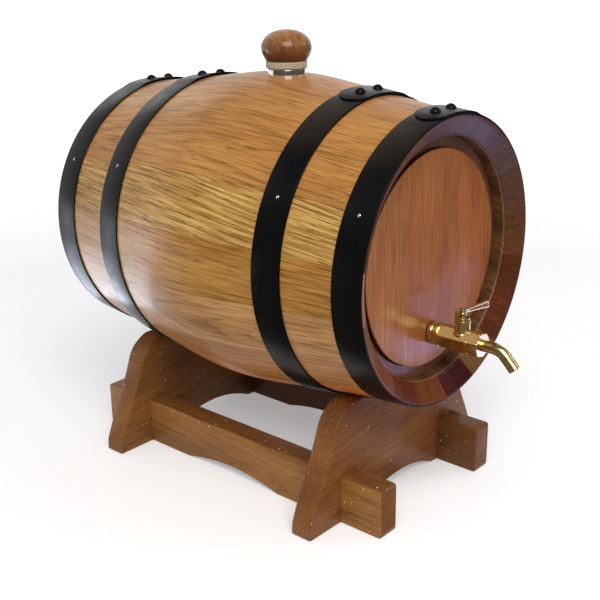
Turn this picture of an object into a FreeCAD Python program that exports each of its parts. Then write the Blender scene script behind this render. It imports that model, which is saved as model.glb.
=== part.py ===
import FreeCAD, Part
import math
import os

os.makedirs("parts", exist_ok=True)

Vector = FreeCAD.Vector

# Frame: +Z up from the floor, cask axis along Y, tap towards -Y. Millimetres.

# Cask: the wood's radius at mid length, and how far it falls from there outwards
CASK_LENGTH = 344.0
BILGE_R = 134.2
BELLY_FALL = 8.5          # mid length to the bilge hoop
BILGE_SEAT_FALL = 3.5     # under the bilge hoop
FLANK_FALL = 5.7          # between the hoops
CHIME_SEAT_FALL = 2.6     # under the chime hoop
STAVE_THICK = 18.5        # at mid length
CHIME_THICK = 16.6        # at the end
PLAIN_STAVES = 16
BUNG_STAVE_ANGLE = 34.8   # width of the bung stave in degrees
STAVE_SWING = 1.5         # how far the joints wander from even spacing, degrees

# Chime, croze and heads
CHIME_LAND = 0.8          # flat left on the end of the stave
RIM_SETBACK = 11.0        # end of the cask to the inner rim of the bevel
PANEL_SETBACK = 16.9      # end of the cask to the raised field
PANEL_MARGIN = 10.1       # raised field's edge to the chime's wall
PANEL_STEP = 4.9          # raised field above the lip
LIP_THICK = 8.0
CROZE_DEPTH = 5.0
LIP_END_GAP = 0.3
HEAD_BOARD_WIDTH = 66.0   # middle board of each head

# Hoops
HOOP_WIDTH = 25.4
HOOP_THICK = 1.3
CHIME_HOOP_SETBACK = 0.3  # end of the cask to the hoop's edge
HOOP_CLEARANCE = 0.4      # bilge hoop's edge to the rear cradle
HOOP_FLARE = 0.35         # a hoop's outer edge stands this far off the wood
LAP_FRONT_ANGLE = 90.0    # middle of the rivets, degrees round from +X
LAP_REAR_ANGLE = 92.0
RIVET_SPREAD = 5.15       # each rivet from the middle, degrees
TONGUE_REACH = 13.5       # middle of the rivets to the tongue's tip
LAP_TAIL = 18.0           # middle of the rivets to the start of the lap
RIVET_HEAD_R = 4.5
RIVET_HEAD_H = 3.4
RIVET_SHANK_R = 2.0
NAIL_STAVE = 3            # counted from the bung stave
NAIL_PAST_JOINT = 1.5     # degrees
NAIL_HEAD_R = 1.3
NAIL_HEAD_H = 0.5
NAIL_SHANK = 1.4          # the nails are square
NAIL_LENGTH = 12.0

# Bung and its liner, heights from the cask's axis
BUNG_Y = -4.2
LINER_R = 16.2
LINER_WALL = 1.6
LINER_PROUD = 3.4
REST_GAP = 0.3            # between parts of different bodies that rest or slide
SEAL_RIM = 1.2            # seal's ring past the liner
SEAL_H = 5.8
PLUG_DEPTH = 18.0
PLUG_TAPER = 0.7
KNOB_R = 21.2
KNOB_H = 25.3
KNOB_BELLY_H = 11.0       # foot to the widest place
KNOB_WAIST = 4.2          # foot's radius inside the widest
KNOB_SHOULDER_H = 17.2
KNOB_SHOULDER_IN = 2.3
KNOB_CROWN_H = 23.6
KNOB_CROWN_IN = 11.0
BUNG_SCREW_R = 2.5
BUNG_SCREW_HEAD_R = 5.5
BUNG_SCREW_HEAD_H = 2.5
BUNG_SCREW_BITE = 14.0

# Tap, heights from the tap's axis, lengths along Y from the head's field
TAP_RISE = 26.3           # raised field's lower edge to the tap's axis
WASHER_R = 9.0
WASHER_T = 1.5
COLLAR_R = 9.3
COLLAR_LEN = 7.2
TAIL_R = 8.4
TAIL_PROUD = 8.0          # tail past the head's inner face
FLOW_R = 3.6
LOCK_NUT_FLATS = 24.0
LOCK_NUT_T = 5.0
RING_R = 10.2
RING_T = 1.8
SPIGOT_R = 6.0
SPIGOT_LEN = 7.5
HEX_FLATS = 17.8
HEX_TURN = -13.0          # the hexagon stands turned on its axis, degrees
BODY_LEN = 27.6
OUTLET_LEN = 9.5
OUTLET_FLATS = 18.2
STUD_R = 6.5
STUD_LEN = 4.5
SPOUT_R = 4.7
SPOUT_WALL = 1.0
SPOUT_STRAIGHT = 10.3     # nut face to the bend
BEND_R = 14.0             # of the spout's middle line
BEND_ANGLE = 46.0
SPOUT_DROP = 12.6         # straight length after the bend
STEM_FROM_RING = 18.2     # lock ring to the valve's axis
PLUG_R = 4.6
RUN_GAP = 0.05            # radial clearance of the plug and stem
PLUG_BOTTOM = -6.0
BONNET_R = 6.3
BONNET_FOOT = 6.0
BONNET_LEDGE = 17.2
LUG_TOP = 24.9
LUG_START = 103.0
LUG_SWEEP = 64.0
LUG_WALL = 1.7
LUG_GAP = 0.4             # between the lug and what turns beside it
CAVITY_TOP = 12.0
STEM_R = 2.8
ORING_R = 0.85
FLANGE_R = 5.6
FLANGE_T = 1.6
VALVE_TURN = 90.0         # from shut to open, degrees
STOP_GAP = 2.0            # between the stop tab and the lug at each end, degrees
HUB_R = 2.95
HUB_TOP = 25.9
HUB_BORE_R = 1.9
SCREW_HEAD_R = 2.4
SCREW_HEAD_H = 0.9
SCREW_R = 0.9
SCREW_LEN = 5.0
LEVER_LEN = 39.0
LEVER_T = 2.2
LEVER_ROOT_LOW = 22.0
LEVER_ROOT_HIGH = 24.7
LEVER_TIP_LOW = 16.8
LEVER_TIP_HIGH = 23.5
LEVER_TIP_SLANT = 3.0

# Stand
STAND_Y = -1.5            # middle of the stand from the cask's middle
CRADLE_SETBACK = 57.5     # end of the cask to a cradle's middle, with STAND_Y nought
CRADLE_THICK = 20.0
SADDLE_Z = 90.0           # lowest place of a saddle at mid span
FOOT_HALF = 119.0
FOOT_RISE = 9.0
TOE_IN = 6.5              # places on the flank, in from the foot
TOE_Z = 25.0
WAIST_IN = 21.5
WAIST_Z = 56.0
SHOULDER_IN = 30.0
SHOULDER_Z = 76.0
BROW_IN = 37.0
BROW_Z = 90.5
HORN_IN = 53.0
HORN_Z = 101.5
ARCH_HALF = 52.0
ARCH_RISE = 12.5
RAIL_X = 70.0
RAIL_THICK = 21.0
RAIL_HEIGHT = 42.0
RAIL_OVERHANG = 50.5      # a cradle's middle to the rail's end
RAIL_ARCH_HALF = 54.0
RAIL_ARCH_RISE = 7.5
RAIL_EDGE = 1.5           # softened long edges

# Derived sizes
HALF = CASK_LENGTH / 2
BILGE_IN_R = BILGE_R - BELLY_FALL
BILGE_OUT_R = BILGE_IN_R - BILGE_SEAT_FALL
CHIME_SEAT_R = BILGE_OUT_R - FLANK_FALL
END_R = CHIME_SEAT_R - CHIME_SEAT_FALL
WALL_R = END_R - CHIME_THICK
PANEL_R = WALL_R - PANEL_MARGIN
RIM_Y = HALF - RIM_SETBACK
PANEL_Y = HALF - PANEL_SETBACK
LIP_Y = PANEL_Y - PANEL_STEP
HEAD_IN_Y = LIP_Y - LIP_THICK
CROZE_R = WALL_R + CROZE_DEPTH
CRADLE_SPAN = CASK_LENGTH - 2 * CRADLE_SETBACK
RAIL_LENGTH = CRADLE_SPAN + 2 * RAIL_OVERHANG
CRADLE_INNER_Y = CRADLE_SPAN / 2 - abs(STAND_Y) - CRADLE_THICK / 2
CHIME_HOOP_Y = HALF - CHIME_HOOP_SETBACK - HOOP_WIDTH / 2
BILGE_HOOP_Y = CRADLE_INNER_Y - HOOP_CLEARANCE - HOOP_WIDTH / 2
INNER_BILGE_R = BILGE_R - STAVE_THICK
LAP_RADIUS = 2 * HOOP_THICK
LINER_TOP = BILGE_R + LINER_PROUD
SEAL_R = LINER_R + SEAL_RIM
SEAL_FOOT = LINER_TOP + REST_GAP
KNOB_FOOT = SEAL_FOOT + SEAL_H
TAP_Z = TAP_RISE - PANEL_R
TAP_FACE_Y = -PANEL_Y
COLLAR_BACK_Y = TAP_FACE_Y - WASHER_T
RING_BACK_Y = COLLAR_BACK_Y - COLLAR_LEN
BODY_BACK_Y = RING_BACK_Y - RING_T
BODY_FRONT_Y = BODY_BACK_Y - BODY_LEN
OUTLET_FRONT_Y = BODY_FRONT_Y - OUTLET_LEN
STEM_Y = BODY_BACK_Y - STEM_FROM_RING
FLANGE_FOOT = BONNET_LEDGE + REST_GAP
HUB_FOOT = FLANGE_FOOT + FLANGE_T
BORE_OVERRUN = 1.0        # how far a cutter runs past what it cuts

UP = Vector(0, 0, 1)
FORWARD = Vector(0, -1, 0)
BACKWARD = Vector(0, 1, 0)
RIGHT = Vector(1, 0, 0)
ORIGIN = Vector(0, 0, 0)


def spline(points):
    curve = Part.BSplineCurve()
    curve.interpolate(points)
    return curve


def outer_curve():
    """The wood's outside in the XY plane: x is the radius, y is along the cask."""
    chime_y = CHIME_HOOP_Y - HOOP_WIDTH / 2
    out_y = BILGE_HOOP_Y + HOOP_WIDTH / 2
    in_y = BILGE_HOOP_Y - HOOP_WIDTH / 2
    rear = [Vector(BILGE_IN_R, in_y, 0), Vector(BILGE_OUT_R, out_y, 0)]
    rear += [Vector(CHIME_SEAT_R, chime_y, 0), Vector(END_R, HALF, 0)]
    front = [Vector(point.x, -point.y, 0) for point in reversed(rear)]
    return spline(front + [Vector(BILGE_R, 0, 0)] + rear)


OUTER = outer_curve()


def wood_radius(y):
    """The wood's outside radius at a place along the cask."""
    low = OUTER.FirstParameter
    high = OUTER.LastParameter
    for _ in range(50):
        middle = (low + high) / 2
        if OUTER.value(middle).y < y:
            low = middle
        else:
            high = middle
    return OUTER.value(low).x


# Height of the cask's axis: it rests in the saddles at mid span
AXIS_Z = SADDLE_Z + REST_GAP + wood_radius(CRADLE_SPAN / 2)


def turn(shape, angle):
    """Turn a shape about the cask's axis, from +X towards +Z."""
    turned = shape.copy()
    turned.rotate(ORIGIN, FORWARD, angle)
    return turned


def sweep_round(face, start, sweep):
    """Revolve a face of the XY plane about the cask's axis."""
    return turn(face, start).revolve(ORIGIN, FORWARD, sweep)


def polygon_face(points):
    return Part.Face(Part.makePolygon(points + [points[0]]))


def cylinder(radius, start, direction, length):
    return Part.makeCylinder(radius, length, start, direction)


# Staves


def nail_angle():
    """The nails go into one stave, just past its joint."""
    return joint_angle(NAIL_STAVE - 1) + NAIL_PAST_JOINT


def stave_face():
    """Lengthwise section of a stave: bevelled chimes, croze grooves, bellied outside."""
    front = [Vector(END_R, -HALF, 0), Vector(END_R - CHIME_LAND, -HALF, 0)]
    front += [Vector(WALL_R, -RIM_Y, 0), Vector(WALL_R, -LIP_Y, 0)]
    front += [Vector(CROZE_R, -LIP_Y, 0), Vector(CROZE_R, -HEAD_IN_Y, 0)]
    front += [Vector(WALL_R, -HEAD_IN_Y, 0)]
    rear = [Vector(point.x, -point.y, 0) for point in reversed(front)]
    belly = Part.Arc(front[-1], Vector(INNER_BILGE_R, 0, 0), rear[0]).toShape()
    edges = Part.makePolygon(front).Edges + [belly]
    edges += Part.makePolygon(rear).Edges + [OUTER.toShape()]
    return Part.Face(Part.Wire(Part.__sortEdges__(edges)))


def joint_angle(index):
    """Angle of a stave joint. Joints 0 and PLAIN_STAVES bound the bung stave."""
    pitch = (360 - BUNG_STAVE_ANGLE) / PLAIN_STAVES
    wander = STAVE_SWING * math.sin(2 * math.pi * index / PLAIN_STAVES)
    return 90 + BUNG_STAVE_ANGLE / 2 + index * pitch + wander


def liner_bore():
    depth = LINER_TOP - INNER_BILGE_R + 2 * STAVE_THICK
    return cylinder(LINER_R, Vector(0, BUNG_Y, INNER_BILGE_R - STAVE_THICK), UP, depth)


def make_staves():
    face = stave_face()
    staves = {}
    for index in range(PLAIN_STAVES):
        start = joint_angle(index)
        stave = sweep_round(face, start, joint_angle(index + 1) - start)
        if index + 1 == NAIL_STAVE:
            for hoop_y in HOOP_PLACES.values():
                stave = stave.cut(nail_shank(hoop_y))
        staves["stave_%02d" % (index + 1)] = stave
    bung_start = joint_angle(PLAIN_STAVES)
    staves["stave_bung"] = sweep_round(face, bung_start, BUNG_STAVE_ANGLE).cut(liner_bore())
    return staves


# Heads


def head_disc():
    """Front head: a raised round field and a thin lip, tap hole not yet cut."""
    lip_r = CROZE_R - LIP_END_GAP
    points = [Vector(0, -PANEL_Y, 0), Vector(PANEL_R, -PANEL_Y, 0)]
    points += [Vector(PANEL_R, -LIP_Y, 0), Vector(lip_r, -LIP_Y, 0)]
    points += [Vector(lip_r, -HEAD_IN_Y, 0), Vector(0, -HEAD_IN_Y, 0)]
    return sweep_round(polygon_face(points), 0, 360)


def board_space(side):
    """Space that one board of a head fills. Side is -1, 0 or 1."""
    width = HEAD_BOARD_WIDTH
    if side:
        width = CROZE_R
    left = side * (HEAD_BOARD_WIDTH / 2 + width / 2) - width / 2
    corner = Vector(left, -HALF, -CROZE_R)
    return Part.makeBox(width, CASK_LENGTH, 2 * CROZE_R, corner)


def make_heads():
    front = head_disc()
    rear = front.mirror(ORIGIN, BACKWARD)
    tap_hole = cylinder(TAIL_R, Vector(0, -HALF, TAP_Z), BACKWARD, HALF)
    heads = {}
    for side, word in ((-1, "left"), (0, "middle"), (1, "right")):
        heads["head_front_" + word] = front.common(board_space(side)).cut(tap_hole)
        heads["head_rear_" + word] = rear.common(board_space(side))
    return heads


# Hoops, rivets and nails

HOOP_PLACES = {
    "front_chime": -CHIME_HOOP_Y,
    "front_bilge": -BILGE_HOOP_Y,
    "rear_bilge": BILGE_HOOP_Y,
    "rear_chime": CHIME_HOOP_Y,
}


def hoop_radii(hoop_y):
    """Inside radius of a hoop at its inner edge and at its outer edge."""
    inner = wood_radius(abs(hoop_y) - HOOP_WIDTH / 2)
    outer = wood_radius(abs(hoop_y) + HOOP_WIDTH / 2)
    return inner, outer + HOOP_FLARE


def middle_radius(hoop_y):
    """Outside radius of a hoop's single strip at mid width."""
    inner, outer = hoop_radii(hoop_y)
    return (inner + outer) / 2 + HOOP_THICK


def strip_face(hoop_y, lift):
    """Section of one strip layer, raised by lift from the wood."""
    inner, outer = hoop_radii(hoop_y)
    side = math.copysign(1, hoop_y)
    in_y = hoop_y - side * HOOP_WIDTH / 2
    out_y = hoop_y + side * HOOP_WIDTH / 2
    points = [Vector(inner + lift, in_y, 0), Vector(outer + lift, out_y, 0)]
    points += [Vector(outer + lift + HOOP_THICK, out_y, 0)]
    points += [Vector(inner + lift + HOOP_THICK, in_y, 0)]
    return polygon_face(points)


def lap_direction(hoop_y):
    """Angle of the lap's middle and the way its tongue points."""
    if hoop_y < 0:
        return LAP_FRONT_ANGLE, 1
    return 180 - LAP_REAR_ANGLE, -1


def radial_cylinder(radius, inner, outer, hoop_y, angle):
    along = cylinder(radius, Vector(inner, hoop_y, 0), RIGHT, outer - inner)
    return turn(along, angle)


def tongue(hoop_y):
    """Second layer over the lap, ending in a half round."""
    middle, way = lap_direction(hoop_y)
    reach = math.degrees(HOOP_WIDTH / 2 / middle_radius(hoop_y))
    face = strip_face(hoop_y, HOOP_THICK)
    straight = TONGUE_REACH - reach
    low = min(-way * LAP_TAIL, way * straight)
    body = sweep_round(face, middle + low, LAP_TAIL + straight)
    tip_angle = middle + way * straight
    around = sweep_round(face, tip_angle - reach, 2 * reach)
    radius = middle_radius(hoop_y)
    tip = radial_cylinder(HOOP_WIDTH / 2, radius / 2, 2 * radius, hoop_y, tip_angle)
    return body.fuse(around.common(tip))


def rivet_angles(hoop_y):
    middle, way = lap_direction(hoop_y)
    return middle - RIVET_SPREAD, middle + RIVET_SPREAD


def nail_shank(hoop_y):
    half = NAIL_SHANK / 2
    corner = Vector(middle_radius(hoop_y) - NAIL_LENGTH, hoop_y - half, -half)
    return turn(Part.makeBox(NAIL_LENGTH, NAIL_SHANK, NAIL_SHANK, corner), nail_angle())


def make_hoop(hoop_y):
    hoop = sweep_round(strip_face(hoop_y, 0), 0, 360).fuse(tongue(hoop_y)).removeSplitter()
    top = middle_radius(hoop_y)
    for angle in rivet_angles(hoop_y):
        hoop = hoop.cut(radial_cylinder(RIVET_SHANK_R, top / 2, 2 * top, hoop_y, angle))
    return hoop.cut(nail_shank(hoop_y))


def dome(radius, height, base, sunk, hoop_y):
    """Low dome on the +X side, its foot sunk below the hoop's surface."""
    ball_r = (radius ** 2 + height ** 2) / (2 * height)
    ball = Part.makeSphere(ball_r, Vector(base + height - ball_r, hoop_y, 0))
    stock = cylinder(radius, Vector(base - sunk, hoop_y, 0), RIGHT, height + sunk)
    skirt = cylinder(radius, Vector(base - sunk, hoop_y, 0), RIGHT, sunk)
    return stock.common(ball).fuse(skirt)


def make_rivets(hoop_y, hoop):
    single = middle_radius(hoop_y)
    base = single + HOOP_THICK
    rivets = []
    for angle in rivet_angles(hoop_y):
        head = turn(dome(RIVET_HEAD_R, RIVET_HEAD_H, base, HOOP_THICK / 2, hoop_y), angle)
        shank = radial_cylinder(RIVET_SHANK_R, single - HOOP_THICK / 2, base, hoop_y, angle)
        rivets.append(head.cut(hoop).fuse(shank).removeSplitter())
    return Part.makeCompound(rivets)


def make_nail(hoop_y, hoop):
    top = middle_radius(hoop_y)
    head = turn(dome(NAIL_HEAD_R, NAIL_HEAD_H, top, HOOP_THICK / 4, hoop_y), nail_angle())
    return head.cut(hoop).fuse(nail_shank(hoop_y)).removeSplitter()


def make_hoops():
    made = {}
    for name, hoop_y in HOOP_PLACES.items():
        hoop = make_hoop(hoop_y)
        made["hoop_" + name] = hoop
        made["rivets_" + name] = make_rivets(hoop_y, hoop)
        made["nail_" + name] = make_nail(hoop_y, hoop)
    return made


# Bung and liner


def turned_up(points, centre):
    """Revolve a section of the XZ plane about the vertical through a centre."""
    shape = polygon_face(points).revolve(ORIGIN, UP, 360)
    shape.translate(centre)
    return shape


def make_liner():
    height = LINER_TOP - INNER_BILGE_R
    foot = Vector(0, BUNG_Y, INNER_BILGE_R)
    tube = cylinder(LINER_R, foot, UP, height)
    return tube.cut(cylinder(LINER_R - LINER_WALL, foot, UP, height))


def make_seal():
    plug_r = LINER_R - LINER_WALL - REST_GAP
    foot = SEAL_FOOT - PLUG_DEPTH
    points = [Vector(BUNG_SCREW_R, 0, foot), Vector(plug_r - PLUG_TAPER, 0, foot)]
    points += [Vector(plug_r, 0, SEAL_FOOT), Vector(SEAL_R, 0, SEAL_FOOT)]
    points += [Vector(SEAL_R, 0, KNOB_FOOT), Vector(BUNG_SCREW_R, 0, KNOB_FOOT)]
    return turned_up(points, Vector(0, BUNG_Y, 0))


def make_knob():
    """Turned knob: a flared foot, widest below mid height, domed on top."""
    flank = [Vector(KNOB_R - KNOB_WAIST, 0, 0), Vector(KNOB_R, 0, KNOB_BELLY_H)]
    flank.append(Vector(KNOB_R - KNOB_SHOULDER_IN, 0, KNOB_SHOULDER_H))
    flank.append(Vector(KNOB_R - KNOB_CROWN_IN, 0, KNOB_CROWN_H))
    flank.append(Vector(0, 0, KNOB_H))
    side = spline(flank).toShape()
    rest = Part.makePolygon([flank[-1], ORIGIN, flank[0]]).Edges
    knob = Part.Face(Part.Wire(Part.__sortEdges__([side] + rest))).revolve(ORIGIN, UP, 360)
    knob.translate(Vector(0, BUNG_Y, KNOB_FOOT))
    hole = cylinder(BUNG_SCREW_R, Vector(0, BUNG_Y, KNOB_FOOT), UP, BUNG_SCREW_BITE)
    return knob.cut(hole)


def make_bung_screw():
    foot = SEAL_FOOT - PLUG_DEPTH
    length = PLUG_DEPTH + SEAL_H + BUNG_SCREW_BITE
    shank = cylinder(BUNG_SCREW_R, Vector(0, BUNG_Y, foot), UP, length)
    head_foot = Vector(0, BUNG_Y, foot - BUNG_SCREW_HEAD_H)
    return shank.fuse(cylinder(BUNG_SCREW_HEAD_R, head_foot, UP, BUNG_SCREW_HEAD_H))


# Tap


def along_tap(radius, start_y, end_y):
    """Cylinder on the tap's axis between two places along Y."""
    return cylinder(radius, Vector(0, end_y, TAP_Z), BACKWARD, start_y - end_y)


def up_stem(radius, low, high):
    """Cylinder on the valve's axis between two heights from the tap's axis."""
    return cylinder(radius, Vector(0, STEM_Y, TAP_Z + low), UP, high - low)


def hexagon(flats, start_y, end_y, angle):
    corner_r = flats / 2 / math.cos(math.pi / 6)
    corners = []
    for index in range(6):
        turned = math.radians(angle + 60 * index)
        x = corner_r * math.cos(turned)
        corners.append(Vector(x, end_y, TAP_Z + corner_r * math.sin(turned)))
    return polygon_face(corners).extrude(Vector(0, start_y - end_y, 0))


def make_shank():
    tail = along_tap(TAIL_R, -HEAD_IN_Y + TAIL_PROUD, COLLAR_BACK_Y)
    collar = along_tap(COLLAR_R, COLLAR_BACK_Y, RING_BACK_Y)
    spigot = along_tap(SPIGOT_R, RING_BACK_Y, RING_BACK_Y - SPIGOT_LEN)
    whole = tail.fuse(collar).fuse(spigot)
    return whole.cut(along_tap(FLOW_R, 0, -CASK_LENGTH))


def make_washer():
    washer = along_tap(WASHER_R, TAP_FACE_Y, COLLAR_BACK_Y)
    return washer.cut(along_tap(TAIL_R, 0, -CASK_LENGTH))


def make_lock_nut():
    nut = hexagon(LOCK_NUT_FLATS, -HEAD_IN_Y + LOCK_NUT_T, -HEAD_IN_Y, 0)
    return nut.cut(along_tap(TAIL_R, 0, -CASK_LENGTH))


def make_lock_ring():
    ring = along_tap(RING_R, RING_BACK_Y, BODY_BACK_Y)
    return ring.cut(along_tap(SPIGOT_R, 0, -CASK_LENGTH))


def make_body():
    body = hexagon(HEX_FLATS, BODY_BACK_Y, BODY_FRONT_Y, HEX_TURN)
    body = body.fuse(along_tap(STUD_R, BODY_FRONT_Y, BODY_FRONT_Y - STUD_LEN))
    body = body.cut(along_tap(FLOW_R, 0, -CASK_LENGTH))
    body = body.cut(along_tap(SPIGOT_R, BODY_BACK_Y, RING_BACK_Y - SPIGOT_LEN))
    body = body.cut(up_stem(PLUG_R, PLUG_BOTTOM, BONNET_FOOT))
    return body.cut(up_stem(BONNET_R, BONNET_FOOT, LUG_TOP))


def sector(radius, low, high, start, sweep):
    """Part of a disc about the valve's axis."""
    centre = Vector(0, STEM_Y, TAP_Z + low)
    wedge = Part.makeCylinder(radius, high - low, centre, UP, sweep)
    wedge.rotate(centre, UP, start)
    return wedge


def make_bonnet():
    bonnet = up_stem(BONNET_R, BONNET_FOOT, BONNET_LEDGE)
    lug = sector(BONNET_R, BONNET_LEDGE, LUG_TOP, LUG_START, LUG_SWEEP)
    bonnet = bonnet.fuse(lug.cut(up_stem(BONNET_R - LUG_WALL + LUG_GAP, 0, LUG_TOP)))
    bonnet = bonnet.cut(up_stem(PLUG_R, BONNET_FOOT, CAVITY_TOP))
    return bonnet.cut(up_stem(STEM_R, CAVITY_TOP, LUG_TOP))


def make_plug():
    """Valve plug with its stem, stop flange and cross bore, shown shut."""
    plug = up_stem(PLUG_R - RUN_GAP, PLUG_BOTTOM + REST_GAP, BONNET_FOOT)
    stem = up_stem(STEM_R - RUN_GAP, BONNET_FOOT, HUB_FOOT)
    spigot = up_stem(HUB_BORE_R, HUB_FOOT, HUB_TOP)
    flange = up_stem(BONNET_R - LUG_WALL, FLANGE_FOOT, HUB_FOOT)
    sweep = 360 - LUG_SWEEP - VALVE_TURN - 2 * STOP_GAP
    tab = sector(FLANGE_R, FLANGE_FOOT, HUB_FOOT, LUG_START - STOP_GAP - sweep, sweep)
    plug = plug.fuse(stem).fuse(spigot).fuse(flange).fuse(tab).removeSplitter()
    bore_start = Vector(-PLUG_R - BORE_OVERRUN, STEM_Y, TAP_Z)
    plug = plug.cut(cylinder(FLOW_R, bore_start, RIGHT, 2 * (PLUG_R + BORE_OVERRUN)))
    return plug.cut(up_stem(SCREW_R, HUB_TOP - SCREW_LEN, HUB_TOP))


def make_oring():
    centre = Vector(0, STEM_Y, TAP_Z + (BONNET_FOOT + CAVITY_TOP) / 2)
    return Part.makeTorus(STEM_R - RUN_GAP + ORING_R, ORING_R, centre, UP)


def make_lever():
    """Fantail lever on edge, pointing to +X when shut."""
    hub = up_stem(HUB_R, HUB_FOOT, HUB_TOP)
    half = LEVER_T / 2
    back = STEM_Y - half
    points = [Vector(0, back, LEVER_ROOT_LOW), Vector(HUB_R * 2, back, LEVER_ROOT_LOW)]
    points += [Vector(LEVER_LEN, back, LEVER_TIP_LOW)]
    points += [Vector(LEVER_LEN - LEVER_TIP_SLANT, back, LEVER_TIP_HIGH)]
    points += [Vector(HUB_R * 2, back, LEVER_ROOT_HIGH), Vector(0, back, LEVER_ROOT_HIGH)]
    blade = polygon_face(points).extrude(Vector(0, LEVER_T, 0))
    blade.translate(Vector(0, 0, TAP_Z))
    return hub.fuse(blade).cut(up_stem(HUB_BORE_R, HUB_FOOT, HUB_TOP)).removeSplitter()


def make_lever_screw():
    head = up_stem(SCREW_HEAD_R, HUB_TOP, HUB_TOP + SCREW_HEAD_H)
    return head.fuse(up_stem(SCREW_R, HUB_TOP - SCREW_LEN, HUB_TOP))


def make_outlet_nut():
    nut = hexagon(OUTLET_FLATS, BODY_FRONT_Y, OUTLET_FRONT_Y, HEX_TURN)
    nut = nut.cut(along_tap(STUD_R, BODY_FRONT_Y, BODY_FRONT_Y - STUD_LEN))
    return nut.cut(along_tap(SPOUT_R, 0, -CASK_LENGTH))


def spout_solid(radius):
    """Round bar along the spout's line: straight, bend, straight."""
    start_y = BODY_FRONT_Y - STUD_LEN
    bend_y = OUTLET_FRONT_Y - SPOUT_STRAIGHT
    first = along_tap(radius, start_y, bend_y)
    ring = Part.Wire(Part.makeCircle(radius, Vector(0, bend_y, TAP_Z), FORWARD))
    centre = Vector(0, bend_y, TAP_Z - BEND_R)
    bend = Part.Face(ring).revolve(centre, RIGHT, BEND_ANGLE)
    angle = math.radians(BEND_ANGLE)
    way = Vector(0, -math.cos(angle), -math.sin(angle))
    end = centre + Vector(0, -math.sin(angle), math.cos(angle)) * BEND_R
    return first.fuse(bend).fuse(cylinder(radius, end, way, SPOUT_DROP))


def make_spout():
    return spout_solid(SPOUT_R).cut(spout_solid(SPOUT_R - SPOUT_WALL)).removeSplitter()


# Stand


def cradle_outline():
    """Half of a cradle's outline on the right, then its mirror, as one closed face."""
    foot = Vector(FOOT_HALF, 0, 0)
    ankle = Vector(FOOT_HALF, 0, FOOT_RISE)
    toe = Vector(FOOT_HALF - TOE_IN, 0, TOE_Z)
    waist = Vector(FOOT_HALF - WAIST_IN, 0, WAIST_Z)
    shoulder = Vector(FOOT_HALF - SHOULDER_IN, 0, SHOULDER_Z)
    brow = Vector(FOOT_HALF - BROW_IN, 0, BROW_Z)
    horn = Vector(FOOT_HALF - HORN_IN, 0, HORN_Z)
    right = [Part.makeLine(foot, ankle), spline([ankle, toe, waist, shoulder, brow, horn]).toShape()]
    left = [edge.mirror(ORIGIN, RIGHT) for edge in right]
    top = Part.makeLine(horn, Vector(-horn.x, 0, HORN_Z))
    arch_ends = (Vector(-ARCH_HALF, 0, 0), Vector(ARCH_HALF, 0, 0))
    arch = Part.Arc(arch_ends[0], Vector(0, 0, ARCH_RISE), arch_ends[1]).toShape()
    floor = [Part.makeLine(Vector(-FOOT_HALF, 0, 0), arch_ends[0]), arch]
    floor.append(Part.makeLine(arch_ends[1], foot))
    return Part.Face(Part.Wire(Part.__sortEdges__(right + left + [top] + floor)))


def saddle_cutter():
    """The cask's outside, a rest gap larger, at its height."""
    gap = Vector(REST_GAP, 0, 0)
    shell = OUTER.toShape()
    shell.translate(gap)
    ends = [Vector(0, HALF, 0), Vector(0, -HALF, 0)]
    rear = Part.makeLine(Vector(END_R, HALF, 0) + gap, ends[0])
    front = Part.makeLine(ends[1], Vector(END_R, -HALF, 0) + gap)
    edges = [shell, rear, Part.makeLine(ends[0], ends[1]), front]
    solid = sweep_round(Part.Face(Part.Wire(Part.__sortEdges__(edges))), 0, 360)
    solid.translate(Vector(0, 0, AXIS_Z))
    return solid


def rail_stock(side, height):
    """Plain square length of a rail, from the floor up to a height."""
    left = side * RAIL_X - RAIL_THICK / 2
    corner = Vector(left, STAND_Y - RAIL_LENGTH / 2, 0)
    return Part.makeBox(RAIL_THICK, RAIL_LENGTH, height, corner)


def make_cradle(side, cutter):
    back_y = STAND_Y + side * CRADLE_SPAN / 2 - CRADLE_THICK / 2
    cradle = cradle_outline().extrude(Vector(0, CRADLE_THICK, 0))
    cradle.translate(Vector(0, back_y, 0))
    cradle = cradle.cut(cutter)
    for rail_side in (-1, 1):
        cradle = cradle.cut(rail_stock(rail_side, RAIL_HEIGHT / 2))
    return cradle


def make_rail(side):
    rail = rail_stock(side, RAIL_HEIGHT)
    long_edges = [edge for edge in rail.Edges if edge.BoundBox.YLength > RAIL_LENGTH / 2]
    top_edges = [edge for edge in long_edges if edge.BoundBox.ZMin > RAIL_HEIGHT / 2]
    rail = rail.makeFillet(RAIL_EDGE, top_edges)
    left = side * RAIL_X - RAIL_THICK / 2
    for cradle_side in (-1, 1):
        back_y = STAND_Y + cradle_side * CRADLE_SPAN / 2 - CRADLE_THICK / 2
        corner = Vector(left, back_y, RAIL_HEIGHT / 2)
        rail = rail.cut(Part.makeBox(RAIL_THICK, CRADLE_THICK, RAIL_HEIGHT, corner))
    ends = [Vector(left, STAND_Y + way * RAIL_ARCH_HALF, 0) for way in (-1, 1)]
    arc = Part.Arc(ends[0], Vector(left, STAND_Y, RAIL_ARCH_RISE), ends[1]).toShape()
    arch = Part.Face(Part.Wire([arc, Part.makeLine(ends[1], ends[0])]))
    return rail.cut(arch.extrude(Vector(RAIL_THICK, 0, 0)))


def make_stand():
    cutter = saddle_cutter()
    made = {"cradle_front": make_cradle(-1, cutter), "cradle_rear": make_cradle(1, cutter)}
    made["rail_left"] = make_rail(-1)
    made["rail_right"] = make_rail(1)
    return made


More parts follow.
